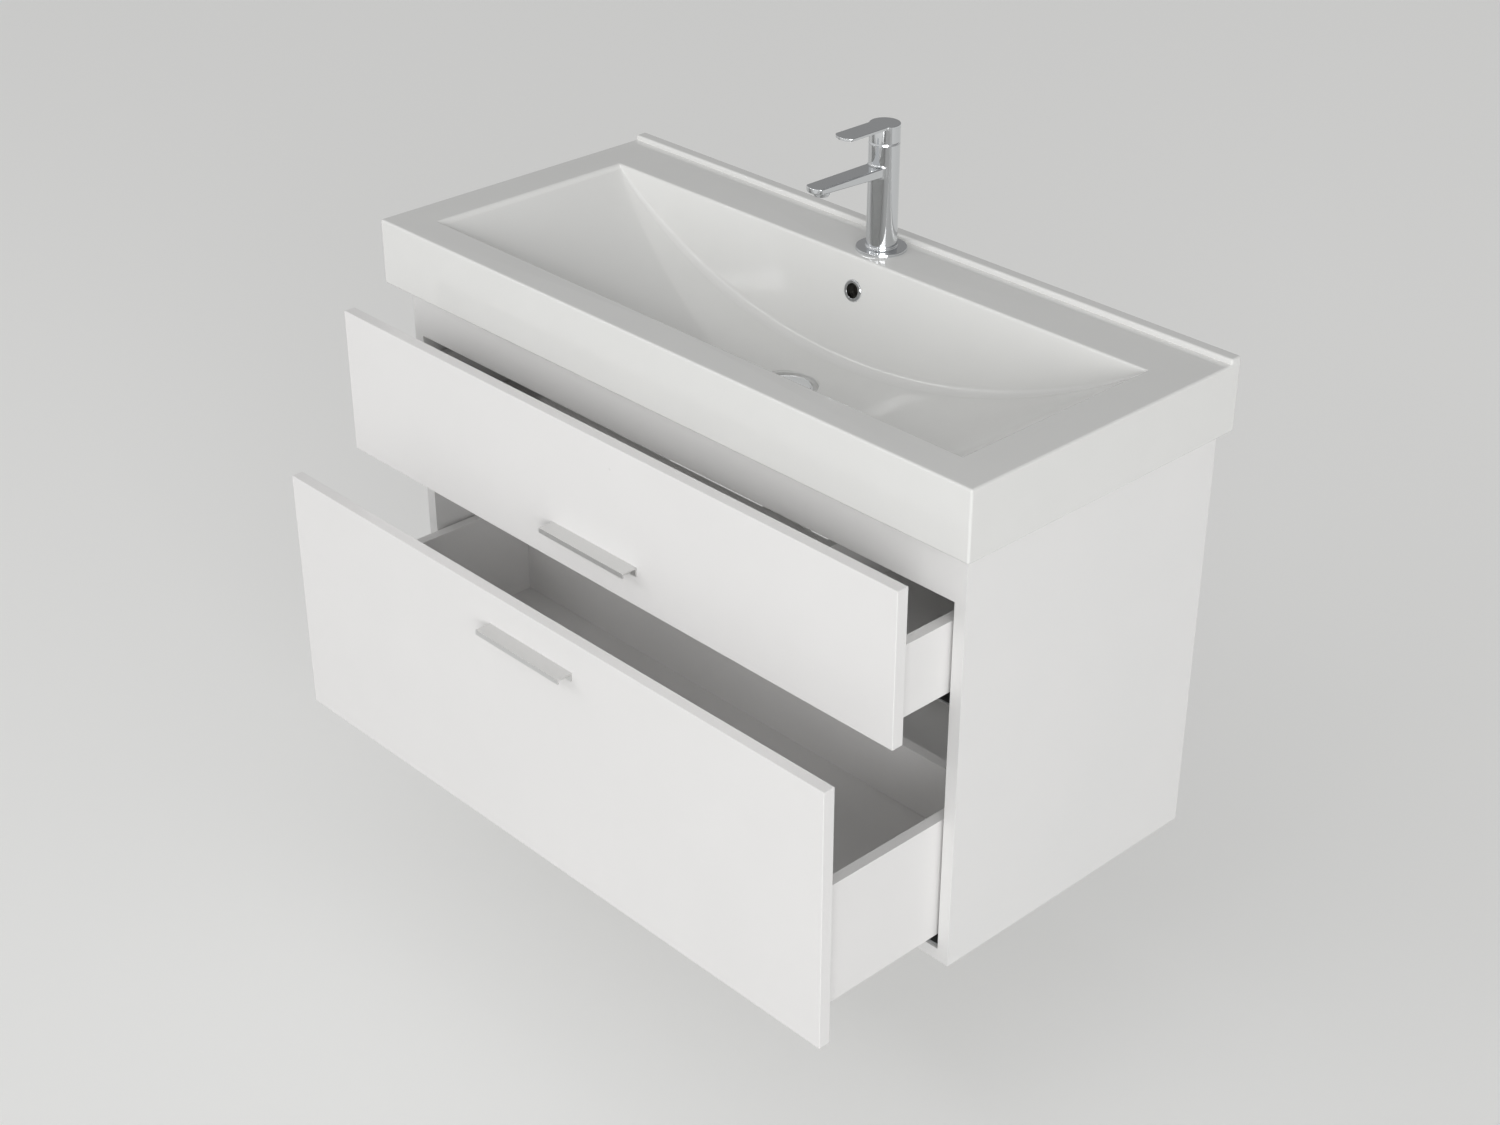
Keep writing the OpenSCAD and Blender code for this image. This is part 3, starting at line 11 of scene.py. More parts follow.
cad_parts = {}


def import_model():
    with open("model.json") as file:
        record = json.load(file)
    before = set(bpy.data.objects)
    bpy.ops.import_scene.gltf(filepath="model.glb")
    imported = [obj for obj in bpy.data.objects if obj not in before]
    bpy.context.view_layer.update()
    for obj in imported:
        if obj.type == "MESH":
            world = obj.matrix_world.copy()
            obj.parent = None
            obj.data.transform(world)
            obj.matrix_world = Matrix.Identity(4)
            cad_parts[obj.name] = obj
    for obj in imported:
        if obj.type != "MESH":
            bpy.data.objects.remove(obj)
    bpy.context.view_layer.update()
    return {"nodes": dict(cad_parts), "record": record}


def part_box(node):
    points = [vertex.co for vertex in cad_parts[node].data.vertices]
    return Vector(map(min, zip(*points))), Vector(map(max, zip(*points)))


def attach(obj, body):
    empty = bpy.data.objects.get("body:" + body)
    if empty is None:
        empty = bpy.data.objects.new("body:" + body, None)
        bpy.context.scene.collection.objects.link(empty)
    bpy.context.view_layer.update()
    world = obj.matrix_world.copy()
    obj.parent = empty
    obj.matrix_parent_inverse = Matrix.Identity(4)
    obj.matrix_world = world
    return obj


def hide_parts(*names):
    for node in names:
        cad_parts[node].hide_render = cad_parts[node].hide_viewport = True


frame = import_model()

MM = 0.001

# ---------------------------------------------------------------- sizes

# read from the solids
BASIN_LOW, BASIN_HIGH = (Vector(corner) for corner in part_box("washbasin"))
CARCASS_HIGH = Vector(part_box("right_side_panel")[1])
RING_LOW, RING_HIGH = (Vector(corner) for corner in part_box("tap_base_ring"))
TAP_LOW, TAP_HIGH = (Vector(corner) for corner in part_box("tap_body"))
LEVER_LOW, LEVER_HIGH = (Vector(corner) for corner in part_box("tap_handle"))
DECK_Z = RING_LOW.z
TAP_Y = (RING_LOW.y + RING_HIGH.y) / 2
APRON_Z = CARCASS_HIGH.z + 1.0 * MM

# what the solids' boxes don't give, as the solids have it
SIDE_RIM = 57.0 * MM
FRONT_RIM = 48.5 * MM
BACK_RIM = 95.0 * MM
BOWL_DEPTH = 132.5 * MM
BOWL_END_DEPTH = 3.5 * MM
BOWL_SLOPE = np.radians(10.0)
CREASE_R = 15.0 * MM
RIM_R = 3.0 * MM
BASIN_WALL = 12.0 * MM
BASIN_EDGE_R = 3.0 * MM
LAND_W = 45.0 * MM
REAR_LAND_W = 36.0 * MM
RIDGE_T = 17.0 * MM
OVERFLOW_DROP = 42.0 * MM
OVERFLOW_RING_D = 28.0 * MM
DUCT_DEPTH = 8.0 * MM
DUCT_HALF = OVERFLOW_RING_D / 2 + 2.0 * MM
COVER_WALL = 5.0 * MM
COVER_SIDE = 8.0 * MM
WASTE_Y = 215.0 * MM
WASTE_HOLE_D = 46.0 * MM
DISH_D = 78.0 * MM
DISH_DEPTH = 6.0 * MM
DISH_FOOT_R = 3.0 * MM
DISH_LIP_R = 2.0 * MM
BOSS_D = DISH_D + 6.0 * MM
BOSS_DROP = 20.0 * MM
TAP_HOLE_D = 35.0 * MM
TAP_R = LEVER_HIGH.y - TAP_Y
FOOT_Z = RING_HIGH.z
SEAM_Z = TAP_HIGH.z
PIVOT_DROP = 3.6 * MM
PIVOT_Z = SEAM_Z - PIVOT_DROP
CARTRIDGE_R = TAP_R - 3.8 * MM
CARTRIDGE_DEPTH = 29.3 * MM
DOME_GAP = 0.3 * MM
COLLAR_R = TAP_R + 1.2 * MM
INLET_D = 9.0 * MM
INLET_X = 8.5 * MM
INLET_Y = TAP_Y + 4.0 * MM
INLET_DEPTH = 12.0 * MM
SPOUT_REACH = TAP_Y - TAP_LOW.y
SPOUT_Z = DECK_Z + 110.0 * MM
SPOUT_W = 26.0 * MM
SPOUT_T = 12.0 * MM
SPOUT_TIP_T = 7.0 * MM
SPOUT_TIP_R = 17.0 * MM
AERATOR_D = SPOUT_W - 6.0 * MM
AERATOR_Y = TAP_Y - SPOUT_REACH + SPOUT_W / 2 + 5.0 * MM
SEAT_TOP = SPOUT_Z - 5.0 * MM
LEVER_REACH = TAP_Y - LEVER_LOW.y
LEVER_W = 29.0 * MM
LEVER_T = 3.4 * MM
LEVER_TIP_R = 18.0 * MM
LEVER_NECK_R = 6.0 * MM
LEVER_CORNER_R = 3.5 * MM

BOWL_HALF = BASIN_HIGH.x - SIDE_RIM
BOWL_FRONT = -BASIN_LOW.y - FRONT_RIM
FLOOR_Z = DECK_Z - BOWL_DEPTH
FLOOR_RISE = BOWL_DEPTH - BOWL_END_DEPTH
END_RUN = 4.0 * MM
OVERFLOW_Z = DECK_Z - OVERFLOW_DROP
OVERFLOW_Y = -BACK_RIM - OVERFLOW_DROP * np.tan(BOWL_SLOPE)
FLOOR_R = (BOWL_HALF**2 + FLOOR_RISE**2) / (2 * FLOOR_RISE)

# a radius as good as none, for the points of a turned profile on its axis
ON_AXIS = 1e-4 * MM
# a hundredth of a millimetre, so that no two faces share a plane where forms are joined
HAIR = 0.01 * MM

REMADE = ("washbasin", "tap_body", "tap_handle")


# ---------------------------------------------------------------- meshes

def clean_up(mesh, merge=1e-6, sliver=1e-7, levels=()):
    """Merges a mesh's doubled points, drops its slivers, closes the flat ring between its open
    borders at each level and turns its faces outwards."""
    form = bmesh.new()
    form.from_mesh(mesh)
    bmesh.ops.remove_doubles(form, verts=form.verts, dist=merge)
    bmesh.ops.dissolve_degenerate(form, edges=form.edges, dist=sliver)
    for level in levels:
        border = [e for e in form.edges if e.is_boundary
                  and all(abs(v.co.z - level) < 1e-6 for v in e.verts)]
        bmesh.ops.triangle_fill(form, edges=border, use_beauty=True)
    bmesh.ops.recalc_face_normals(form, faces=form.faces)
    form.to_mesh(mesh)
    form.free()


def linked(name, data):
    """Object of the given data, linked to the scene."""
    piece = bpy.data.objects.new(name, data)
    bpy.context.scene.collection.objects.link(piece)
    return piece


def finish_piece(name, mesh, body, replaces, smooth):
    """Piece that rides on a body in place of solids, smooth but for edges over an angle."""
    clean_up(mesh)
    mesh.shade_smooth()
    mesh.set_sharp_from_angle(angle=np.radians(smooth))
    piece = linked(name, mesh)
    piece.modifiers.new("even_normals", "WEIGHTED_NORMAL").keep_sharp = True
    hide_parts(*replaces)
    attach(piece, body)
    return piece


def grid_faces(rows, columns, start=0, close_columns=False):
    """Quads over a grid of points, row by row, the rows closed into rings where asked."""
    i = np.arange(rows - 1)
    j = np.arange(columns if close_columns else columns - 1)
    i, j = (a.ravel() for a in np.meshgrid(i, j, indexing="ij"))
    down = i + 1
    along = (j + 1) % columns
    quads = np.stack([i * columns + j, down * columns + j, down * columns + along,
                      i * columns + along], axis=1)
    return (quads + start).tolist()


def arc(centre, radius, start, stop, steps):
    """Points of an arc about centre, with the angles in degrees."""
    angle = np.radians(np.linspace(start, stop, steps + 1))
    return np.stack([centre[0] + radius * np.cos(angle),
                     centre[1] + radius * np.sin(angle)], axis=1)


# ---------------------------------------------------------------- materials

def linear(code):
    """Linear colour from an sRGB hex value."""
    channels = np.array([int(code[i:i + 2], 16) for i in (1, 3, 5)]) / 255
    value = np.where(channels <= 0.04045, channels / 12.92, ((channels + 0.055) / 1.055) ** 2.4)
    return (*value.tolist(), 1.0)


def add(material, kind, settings=None, inputs=None):
    """Adds a node with its settings and inputs. An input goes by name or number, and is a
    constant, another node, whose first live output is taken, or one of its output sockets."""
    tree = material.node_tree
    node = tree.nodes.new(kind)
    for name, value in (settings or {}).items():
        setattr(node, name, value)
    for name, value in (inputs or {}).items():
        if isinstance(name, int):
            socket = node.inputs[name]
        else:
            socket = next(s for s in node.inputs if s.name == name and s.enabled)
        if isinstance(value, bpy.types.Node):
            value = next(s for s in value.outputs if s.enabled)
        if isinstance(value, bpy.types.NodeSocket):
            tree.links.new(value, socket)
        else:
            socket.default_value = value
    return node


def new_material(name):
    """Empty node material and the socket that carries an object's own coordinates."""
    material = bpy.data.materials.new(name)
    material.use_nodes = True
    material.node_tree.nodes.clear()
    return material, add(material, "ShaderNodeTexCoord").outputs["Object"]


def finish_material(material, shader_inputs):
    """Closes a material with its one shader."""
    shader = add(material, "ShaderNodeBsdfPrincipled", None, shader_inputs)
    add(material, "ShaderNodeOutputMaterial", None, {"Surface": shader})
    return material


def glazed_fireclay():
    """Sanitary glaze fired on fireclay: clean white under clear glass, so reflections are sharp
    but swim a little where the glaze has run."""
    material, place = new_material("glazed_fireclay")
    cloud = add(material, "ShaderNodeTexNoise", None,
                {"Vector": place, "Scale": 1 / (90 * MM), "Detail": 2.0})
    white = add(material, "ShaderNodeMix", {"data_type": "RGBA"},
                {"Factor": cloud, "A": linear("#e4e4e2"), "B": linear("#e8e8e6")})
    ripple = add(material, "ShaderNodeTexNoise", None,
                 {"Vector": place, "Scale": 1 / (28 * MM), "Detail": 1.0})
    swim = add(material, "ShaderNodeBump", None, {"Height": ripple, "Distance": 0.05 * MM})
    return finish_material(material, {"Base Color": white, "Roughness": 0.07, "IOR": 1.52,
                                      "Normal": swim})


def fireclay_painted_shade():
    """Bare fireclay inside the overflow channel: dull and sandy, its buff drawn dark grey as
    painted shade for the hollow of the channel and the overflow hole.
    """
    material, place = new_material("fireclay_painted_shade")
    sand = add(material, "ShaderNodeTexNoise", None,
               {"Vector": place, "Scale": 1 / (0.9 * MM), "Detail": 3.0})
    # painted shade: the fireclay's colour is set dark grey so that the channel and the overflow
    # hole look shaded
    painted_shade_buff = add(material, "ShaderNodeMix", {"data_type": "RGBA"},
               {"Factor": sand, "A": linear("#3b3935"), "B": linear("#524f49")})
    grit = add(material, "ShaderNodeBump", None, {"Height": sand, "Distance": 0.15 * MM})
    return finish_material(material, {"Base Color": painted_shade_buff, "Roughness": 0.9, "IOR": 1.5,
                                      "Normal": grit})


def white_foil(name, low, high, sheen_low, sheen_high):
    """White foil pressed on board: even colour, a sheen that drifts slowly over the panel, and
    the faint orange peel of the board beneath."""
    material, place = new_material(name)
    cloud = add(material, "ShaderNodeTexNoise", None,
                {"Vector": place, "Scale": 1 / (140 * MM), "Detail": 2.0})
    white = add(material, "ShaderNodeMix", {"data_type": "RGBA"},
                {"Factor": cloud, "A": linear(low), "B": linear(high)})
    drift = add(material, "ShaderNodeTexNoise", None,
                {"Vector": place, "Scale": 1 / (22 * MM), "Detail": 2.0})
    sheen = add(material, "ShaderNodeMapRange", None,
                {"Value": drift, "To Min": sheen_low, "To Max": sheen_high})
    peel = add(material, "ShaderNodeTexNoise", None,
               {"Vector": place, "Scale": 1 / (1.6 * MM), "Detail": 1.0})
    dimples = add(material, "ShaderNodeBump", None, {"Height": peel, "Distance": 0.01 * MM})
    return finish_material(material, {"Base Color": white, "Roughness": sheen, "IOR": 1.48,
                                      "Normal": dimples})


def chrome_plate():
    """Bright chrome plate on polished brass: a cool mirror with a breath of haze."""
    material, place = new_material("chrome_plate")
    breath = add(material, "ShaderNodeTexNoise", None,
                 {"Vector": place, "Scale": 1 / (7 * MM), "Detail": 3.0})
    haze = add(material, "ShaderNodeMapRange", None,
               {"Value": breath, "To Min": 0.03, "To Max": 0.08})
    return finish_material(material, {"Base Color": linear("#dddfe1"), "Metallic": 1.0,
                                      "Roughness": haze})


def anodised_aluminium():
    """Satin anodised aluminium bar: brushed along its length, so highlights are long and soft."""
    material, place = new_material("anodised_aluminium")
    # brush lines are about 0.1 mm apart on the real bar; drawn at 0.5 mm so that they show
    stretch = add(material, "ShaderNodeMapping", None,
                  {"Vector": place, "Scale": (0.02, 1.0, 1.0)})
    lines = add(material, "ShaderNodeTexNoise", None,
                {"Vector": stretch, "Scale": 1 / (0.5 * MM), "Detail": 2.0})
    satin = add(material, "ShaderNodeMapRange", None,
                {"Value": lines, "To Min": 0.24, "To Max": 0.38})
    grooves = add(material, "ShaderNodeBump", None, {"Height": lines, "Distance": 0.006 * MM})
    return finish_material(material, {"Base Color": linear("#dcdcdb"), "Metallic": 1.0,
                                      "Roughness": satin, "Normal": grooves})


def zinc_plated_steel():
    """Zinc-plated pressed steel: pale grey, clouded by the passivation bath."""
    material, place = new_material("zinc_plated_steel")
    cloud = add(material, "ShaderNodeTexNoise", None,
                {"Vector": place, "Scale": 1 / (9 * MM), "Detail": 4.0})
    grey = add(material, "ShaderNodeMix", {"data_type": "RGBA"},
               {"Factor": cloud, "A": linear("#a2a7ab"), "B": linear("#c8cac8")})
    dull = add(material, "ShaderNodeMapRange", None,
               {"Value": cloud, "To Min": 0.28, "To Max": 0.46})
    return finish_material(material, {"Base Color": grey, "Metallic": 1.0, "Roughness": dull})


def turned_brass():
    """Plain brass turned from bar, with the fine rings that the tool leaves."""
    material, place = new_material("turned_brass")
    # tool marks are 0.1 mm apart on the real piece; drawn at 0.6 mm so that they show
    stretch = add(material, "ShaderNodeMapping", None,
                  {"Vector": place, "Scale": (0.03, 0.03, 1.0)})
    rings = add(material, "ShaderNodeTexNoise", None,
                {"Vector": stretch, "Scale": 1 / (0.6 * MM), "Detail": 2.0})
    tone = add(material, "ShaderNodeMix", {"data_type": "RGBA"},
               {"Factor": rings, "A": linear("#ac8b4e"), "B": linear("#c3a367")})
    polish = add(material, "ShaderNodeMapRange", None,
                 {"Value": rings, "To Min": 0.22, "To Max": 0.4})
    return finish_material(material, {"Base Color": tone, "Metallic": 1.0, "Roughness": polish})


def moulded_plastic(name, low, high, gloss, ior):
    """Injection-moulded plastic: waxy, with a faint cloud in the colour and spark-eroded grain."""
    material, place = new_material(name)
    cloud = add(material, "ShaderNodeTexNoise", None,
                {"Vector": place, "Scale": 1 / (20 * MM), "Detail": 2.0})
    tone = add(material, "ShaderNodeMix", {"data_type": "RGBA"},
               {"Factor": cloud, "A": linear(low), "B": linear(high)})
    grain = add(material, "ShaderNodeTexNoise", None,
                {"Vector": place, "Scale": 1 / (0.8 * MM), "Detail": 2.0})
    skin = add(material, "ShaderNodeBump", None, {"Height": grain, "Distance": 0.02 * MM})
    return finish_material(material, {"Base Color": tone, "Roughness": gloss, "IOR": ior,
                                      "Normal": skin})


def silicone_bead():
    """Smoothed sanitary silicone: milky white, soft gloss, with the finger's slow waves."""
    material, place = new_material("silicone_bead")
    cloud = add(material, "ShaderNodeTexNoise", None,
                {"Vector": place, "Scale": 1 / (12 * MM), "Detail": 2.0})
    milk = add(material, "ShaderNodeMix", {"data_type": "RGBA"},
               {"Factor": cloud, "A": linear("#dcdbd7"), "B": linear("#e4e3df")})
    waves = add(material, "ShaderNodeBump", None, {"Height": cloud, "Distance": 0.2 * MM})
    return finish_material(material, {"Base Color": milk, "Roughness": 0.38, "IOR": 1.41,
                                      "Normal": waves})


def seal_rubber():
    """Black seal rubber: deep grey, dull, with a bloom of talc."""
    material, place = new_material("seal_rubber")
    talc = add(material, "ShaderNodeTexNoise", None,
               {"Vector": place, "Scale": 1 / (3 * MM), "Detail": 3.0})
    tone = add(material, "ShaderNodeMix", {"data_type": "RGBA"},
               {"Factor": talc, "A": linear("#242527"), "B": linear("#3c3d3e")})
    return finish_material(material, {"Base Color": tone, "Roughness": 0.75, "IOR": 1.52})


def beech():
    """Fluted beech dowel: pink-brown, with short dark flecks along the grain."""
    material, place = new_material("beech")
    stretch = add(material, "ShaderNodeMapping", None,
                  {"Vector": place, "Scale": (0.08, 1.0, 1.0)})
    grain = add(material, "ShaderNodeTexNoise", None,
                {"Vector": stretch, "Scale": 1 / (1.2 * MM), "Detail": 4.0})
    tone = add(material, "ShaderNodeMix", {"data_type": "RGBA"},
               {"Factor": grain, "A": linear("#b48d63"), "B": linear("#d3b28b")})
    pores = add(material, "ShaderNodeBump", None, {"Height": grain, "Distance": 0.05 * MM})
    return finish_material(material, {"Base Color": tone, "Roughness": 0.6, "IOR": 1.45,
                                      "Normal": pores})


GLAZE = glazed_fireclay()
# fireclay painted dark as painted shade, for the faces cut by the overflow channel and hole
CLAY_PAINTED_SHADE = fireclay_painted_shade()
FRONT_FOIL = white_foil("lacquered_front_foil", "#e9e8e7", "#edeceb", 0.26, 0.34)
CARCASS_FOIL = white_foil("carcass_foil", "#e8e8e7", "#ecebea", 0.3, 0.42)
BOX_FOIL = white_foil("drawer_box_foil", "#e9e8e7", "#eeedec", 0.38, 0.5)
CHROME = chrome_plate()
ALUMINIUM = anodised_aluminium()
ZINC = zinc_plated_steel()
BRASS = turned_brass()
WHITE_PLASTIC = moulded_plastic("white_polypropylene", "#dcdcd8", "#e3e3df", 0.4, 1.49)
GREY_PLASTIC = moulded_plastic("grey_acetal", "#8b8e90", "#999b9d", 0.36, 1.48)
SEALANT = silicone_bead()
RUBBER = seal_rubber()
BEECH = beech()

SLOT_MATERIALS = {
    "white_board": CARCASS_FOIL,
    "front_board": FRONT_FOIL,
    "box_board": BOX_FOIL,
    "beech": BEECH,
    "zinc_steel": ZINC,
    "sealant": SEALANT,
    "basin_gloss": GLAZE,
    "chrome": CHROME,
    "rubber": RUBBER,
    "white_plastic": WHITE_PLASTIC,
    "grey_plastic": GREY_PLASTIC,
    "brass": BRASS,
    "satin_aluminium": ALUMINIUM,
}
NODE_SLOT = {part["node"]: part["material_slot"] for part in frame["record"]["subparts"]}


# ---------------------------------------------------------------- washbasin

def floor_depth(x):
    """Depth of the bowl's floor under the deck: d(x) = D - (R - sqrt(R^2 - x^2)), an arc of one
    radius along X, that runs out to nothing over the last millimetres of each end."""
    across = np.minimum(np.abs(x), BOWL_HALF)
    sweep = BOWL_DEPTH - (FLOOR_R - np.sqrt(FLOOR_R**2 - across**2))
    start = BOWL_HALF - END_RUN
    t = np.clip((np.abs(x) - start) / (BOWL_HALF + RIM_R - start), 0, 1)
    return sweep * (1 - t * t * (3 - 2 * t))


def wall_inset(depth):
    """How far the bowl's wall lies inside the nominal rim at a depth: a quarter round of the
    rim's radius that passes into the leaning wall, depth * tan(slope), without a kink."""
    blend_depth = RIM_R * (1 - np.sin(BOWL_SLOPE))
    centre = blend_depth * np.tan(BOWL_SLOPE) - RIM_R * np.cos(BOWL_SLOPE)
    rounded = centre + np.sqrt(np.maximum(0, RIM_R**2 - np.maximum(0, RIM_R - depth) ** 2))
    return np.where(depth < blend_depth, rounded, depth * np.tan(BOWL_SLOPE))


def bowl_rows(stations, grow=0.0, wall_steps=14, crease_steps=10, floor_steps=30):
    """Grid over the bowl, one row across per station along X. A row runs from the back rim down
    the wall, round the crease, over the floor and up the front wall. The crease's radius grows
    with the floor's depth; grow sets the form off outwards, for the underside."""
    depth = floor_depth(stations)
    crease = np.minimum(CREASE_R * depth / BOWL_DEPTH + 2 * MM, depth * 0.7)
    radius = (crease + grow)[:, None]
    hub = (depth - crease)[:, None]
    inset = hub * np.tan(BOWL_SLOPE) + crease[:, None] / np.cos(BOWL_SLOPE)
    angle = np.linspace(BOWL_SLOPE, np.pi / 2, crease_steps + 1)[None, :]
    crease_in = inset - radius * np.cos(angle)
    crease_down = hub + radius * np.sin(angle)
    share = np.linspace(0, 1, wall_steps, endpoint=False)[None, :] ** 1.8
    if grow:
        wall_down = BASIN_WALL + (crease_down[:, :1] - BASIN_WALL) * share
        wall_in = wall_down * np.tan(BOWL_SLOPE) - grow / np.cos(BOWL_SLOPE)
    else:
        wall_down = crease_down[:, :1] * share
        wall_in = wall_inset(wall_down)
    half_in = np.concatenate([wall_in, crease_in], axis=1)
    half_down = np.concatenate([wall_down, crease_down], axis=1)
    back_y = -BACK_RIM - half_in
    front_y = -BOWL_FRONT + half_in
    t = np.linspace(0, 1, floor_steps + 1)[None, 1:-1]
    floor_y = back_y[:, -1:] * (1 - t) + front_y[:, -1:] * t
    floor_down = np.repeat(half_down[:, -1:], floor_steps - 1, axis=1)
    y = np.concatenate([back_y, floor_y, front_y[:, ::-1]], axis=1)
    down = np.concatenate([half_down, floor_down, half_down[:, ::-1]], axis=1)
    return np.stack([np.repeat(stations[:, None], y.shape[1], axis=1), y, DECK_Z - down], axis=2)


def loop_round(low, high, radius, z, steps=6):
    """Rectangle in plan from low to high with round corners, as points at height z."""
    corners = ((high[0], high[1], 0, (1, 1)), (low[0], high[1], 90, (-1, 1)),
               (low[0], low[1], 180, (-1, -1)), (high[0], low[1], 270, (1, -1)))
    points = []
    for x, y, start, side in corners:
        centre = (x - side[0] * radius, y - side[1] * radius)
        points.append(arc(centre, max(radius, 1e-9), start, start + 90, steps))
    flat = np.concatenate(points)
    return np.column_stack([flat, np.full(len(flat), z)])


def eased_loops(low, high, bottom, top, r, steps=6):
    """Loops round a block with all its edges rounded to r, from the bottom up to the top."""
    low, high = np.array(low), np.array(high)
    loops = []
    for angle in np.radians(np.linspace(-90, 0, steps + 1)):
        grow = r * (1 - np.cos(angle))
        loops.append(loop_round(low + grow, high - grow, r - grow, bottom + r + r * np.sin(angle)))
    for angle in np.radians(np.linspace(0, 90, steps + 1)):
        grow = r * (1 - np.cos(angle))
        loops.append(loop_round(low + grow, high - grow, r - grow, top - r + r * np.sin(angle)))
    return loops


def closed_stack(loops):
    """Points and faces of loops stacked on each other, capped at both ends."""
    count = len(loops[0])
    points = np.concatenate(loops)
    faces = grid_faces(len(loops), count, close_columns=True)
    faces.append(list(range(count))[::-1])
    faces.append([(len(loops) - 1) * count + i for i in range(count)])
    return points, faces


def basin_outside():
    """Loops of the basin's outer skin from the deck down the apron, under it, over the flat land
    and up the inside of the apron to the underside of the deck."""
    low, high = np.array(BASIN_LOW[:2]), np.array(BASIN_HIGH[:2])
    skin = eased_loops(low, high, APRON_Z, DECK_Z, BASIN_EDGE_R)[::-1]
    inner = BASIN_EDGE_R + 1.5 * MM
    corner = 1 * MM
    land_low = low + LAND_W
    land_high = np.array([high[0] - LAND_W, high[1] - REAR_LAND_W])
    under = DECK_Z - BASIN_WALL
    loops = [loop_round(low + inner, high - inner, corner, DECK_Z)] + skin
    loops.append(loop_round(land_low, land_high, corner, APRON_Z))
    loops.append(loop_round(land_low, land_high, corner, APRON_Z + BASIN_WALL))
    loops.append(loop_round(low + BASIN_WALL, high - BASIN_WALL, corner, APRON_Z + BASIN_WALL))
    loops.append(loop_round(low + BASIN_WALL, high - BASIN_WALL, corner, under))
    return np.array(loops)


def raw_object(name, points, faces, material, **cleaning):
    """Closed object, made to be joined to or cut from another, which takes over its material."""
    mesh = bpy.data.meshes.new(name)
    mesh.from_pydata([tuple(p) for p in points], [], faces)
    clean_up(mesh, **cleaning)
    mesh.materials.append(material)
    return linked(name, mesh)


def carved(base, tools):
    """Mesh of the base after each (operation, tool) has been joined or cut; the tools go."""
    for operation, tool in tools:
        cut = base.modifiers.new(tool.name, "BOOLEAN")
        cut.operation = operation
        cut.object = tool
        cut.solver = "EXACT"
        cut.material_mode = "TRANSFER"
    graph = bpy.context.evaluated_depsgraph_get()
    graph.update()
    mesh = bpy.data.meshes.new_from_object(base.evaluated_get(graph))
    for piece in [base] + [tool for _, tool in tools]:
        bpy.data.objects.remove(piece)
    return mesh


def turned(name, profile, centre, material, tilt=0.0, sides=96):
    """Closed turned object: (radius, height) points carried round an axis through centre that
    leans back by tilt from Z."""
    angle = np.linspace(0, 2 * np.pi, sides, endpoint=False)
    loops = [np.column_stack([radius * np.cos(angle), radius * np.sin(angle),
                              np.full(sides, height)]) for radius, height in profile]
    points, faces = closed_stack(loops)
    lean = np.array(Matrix.Rotation(tilt, 3, "X"))
    return raw_object(name, points @ lean.T + np.array(centre), faces, material)


def extruded_x(name, outline, half, material):
    """Closed prism: an outline of (y, z) points carried along X from -half to half."""
    count = len(outline)
    points = [(x, y, z) for x in (-half, half) for y, z in outline]
    faces = [(i, (i + 1) % count, count + (i + 1) % count, count + i) for i in range(count)]
    faces += [tuple(range(count))[::-1], tuple(range(count, 2 * count))]
    return raw_object(name, points, faces, material)


def duct_outline(grow, end_y):
    """Side view of the overflow channel, from behind the bowl's back wall down to the waste."""
    foot = -BACK_RIM - BOWL_DEPTH * np.tan(BOWL_SLOPE)
    shift = BASIN_WALL + DUCT_DEPTH + grow
    top = OVERFLOW_Z + OVERFLOW_RING_D / 2 + grow
    low = FLOOR_Z - shift
    step = 4 * MM
    inset = (BASIN_WALL - grow) / 2
    lip = FLOOR_Z - inset - step
    return [(OVERFLOW_Y + inset, top), (OVERFLOW_Y + shift, top), (foot + shift, FLOOR_Z + step),
            (foot + BASIN_WALL + grow, low), (end_y, low), (end_y, lip),
            (foot + inset - step, lip), (foot + inset, FLOOR_Z)]


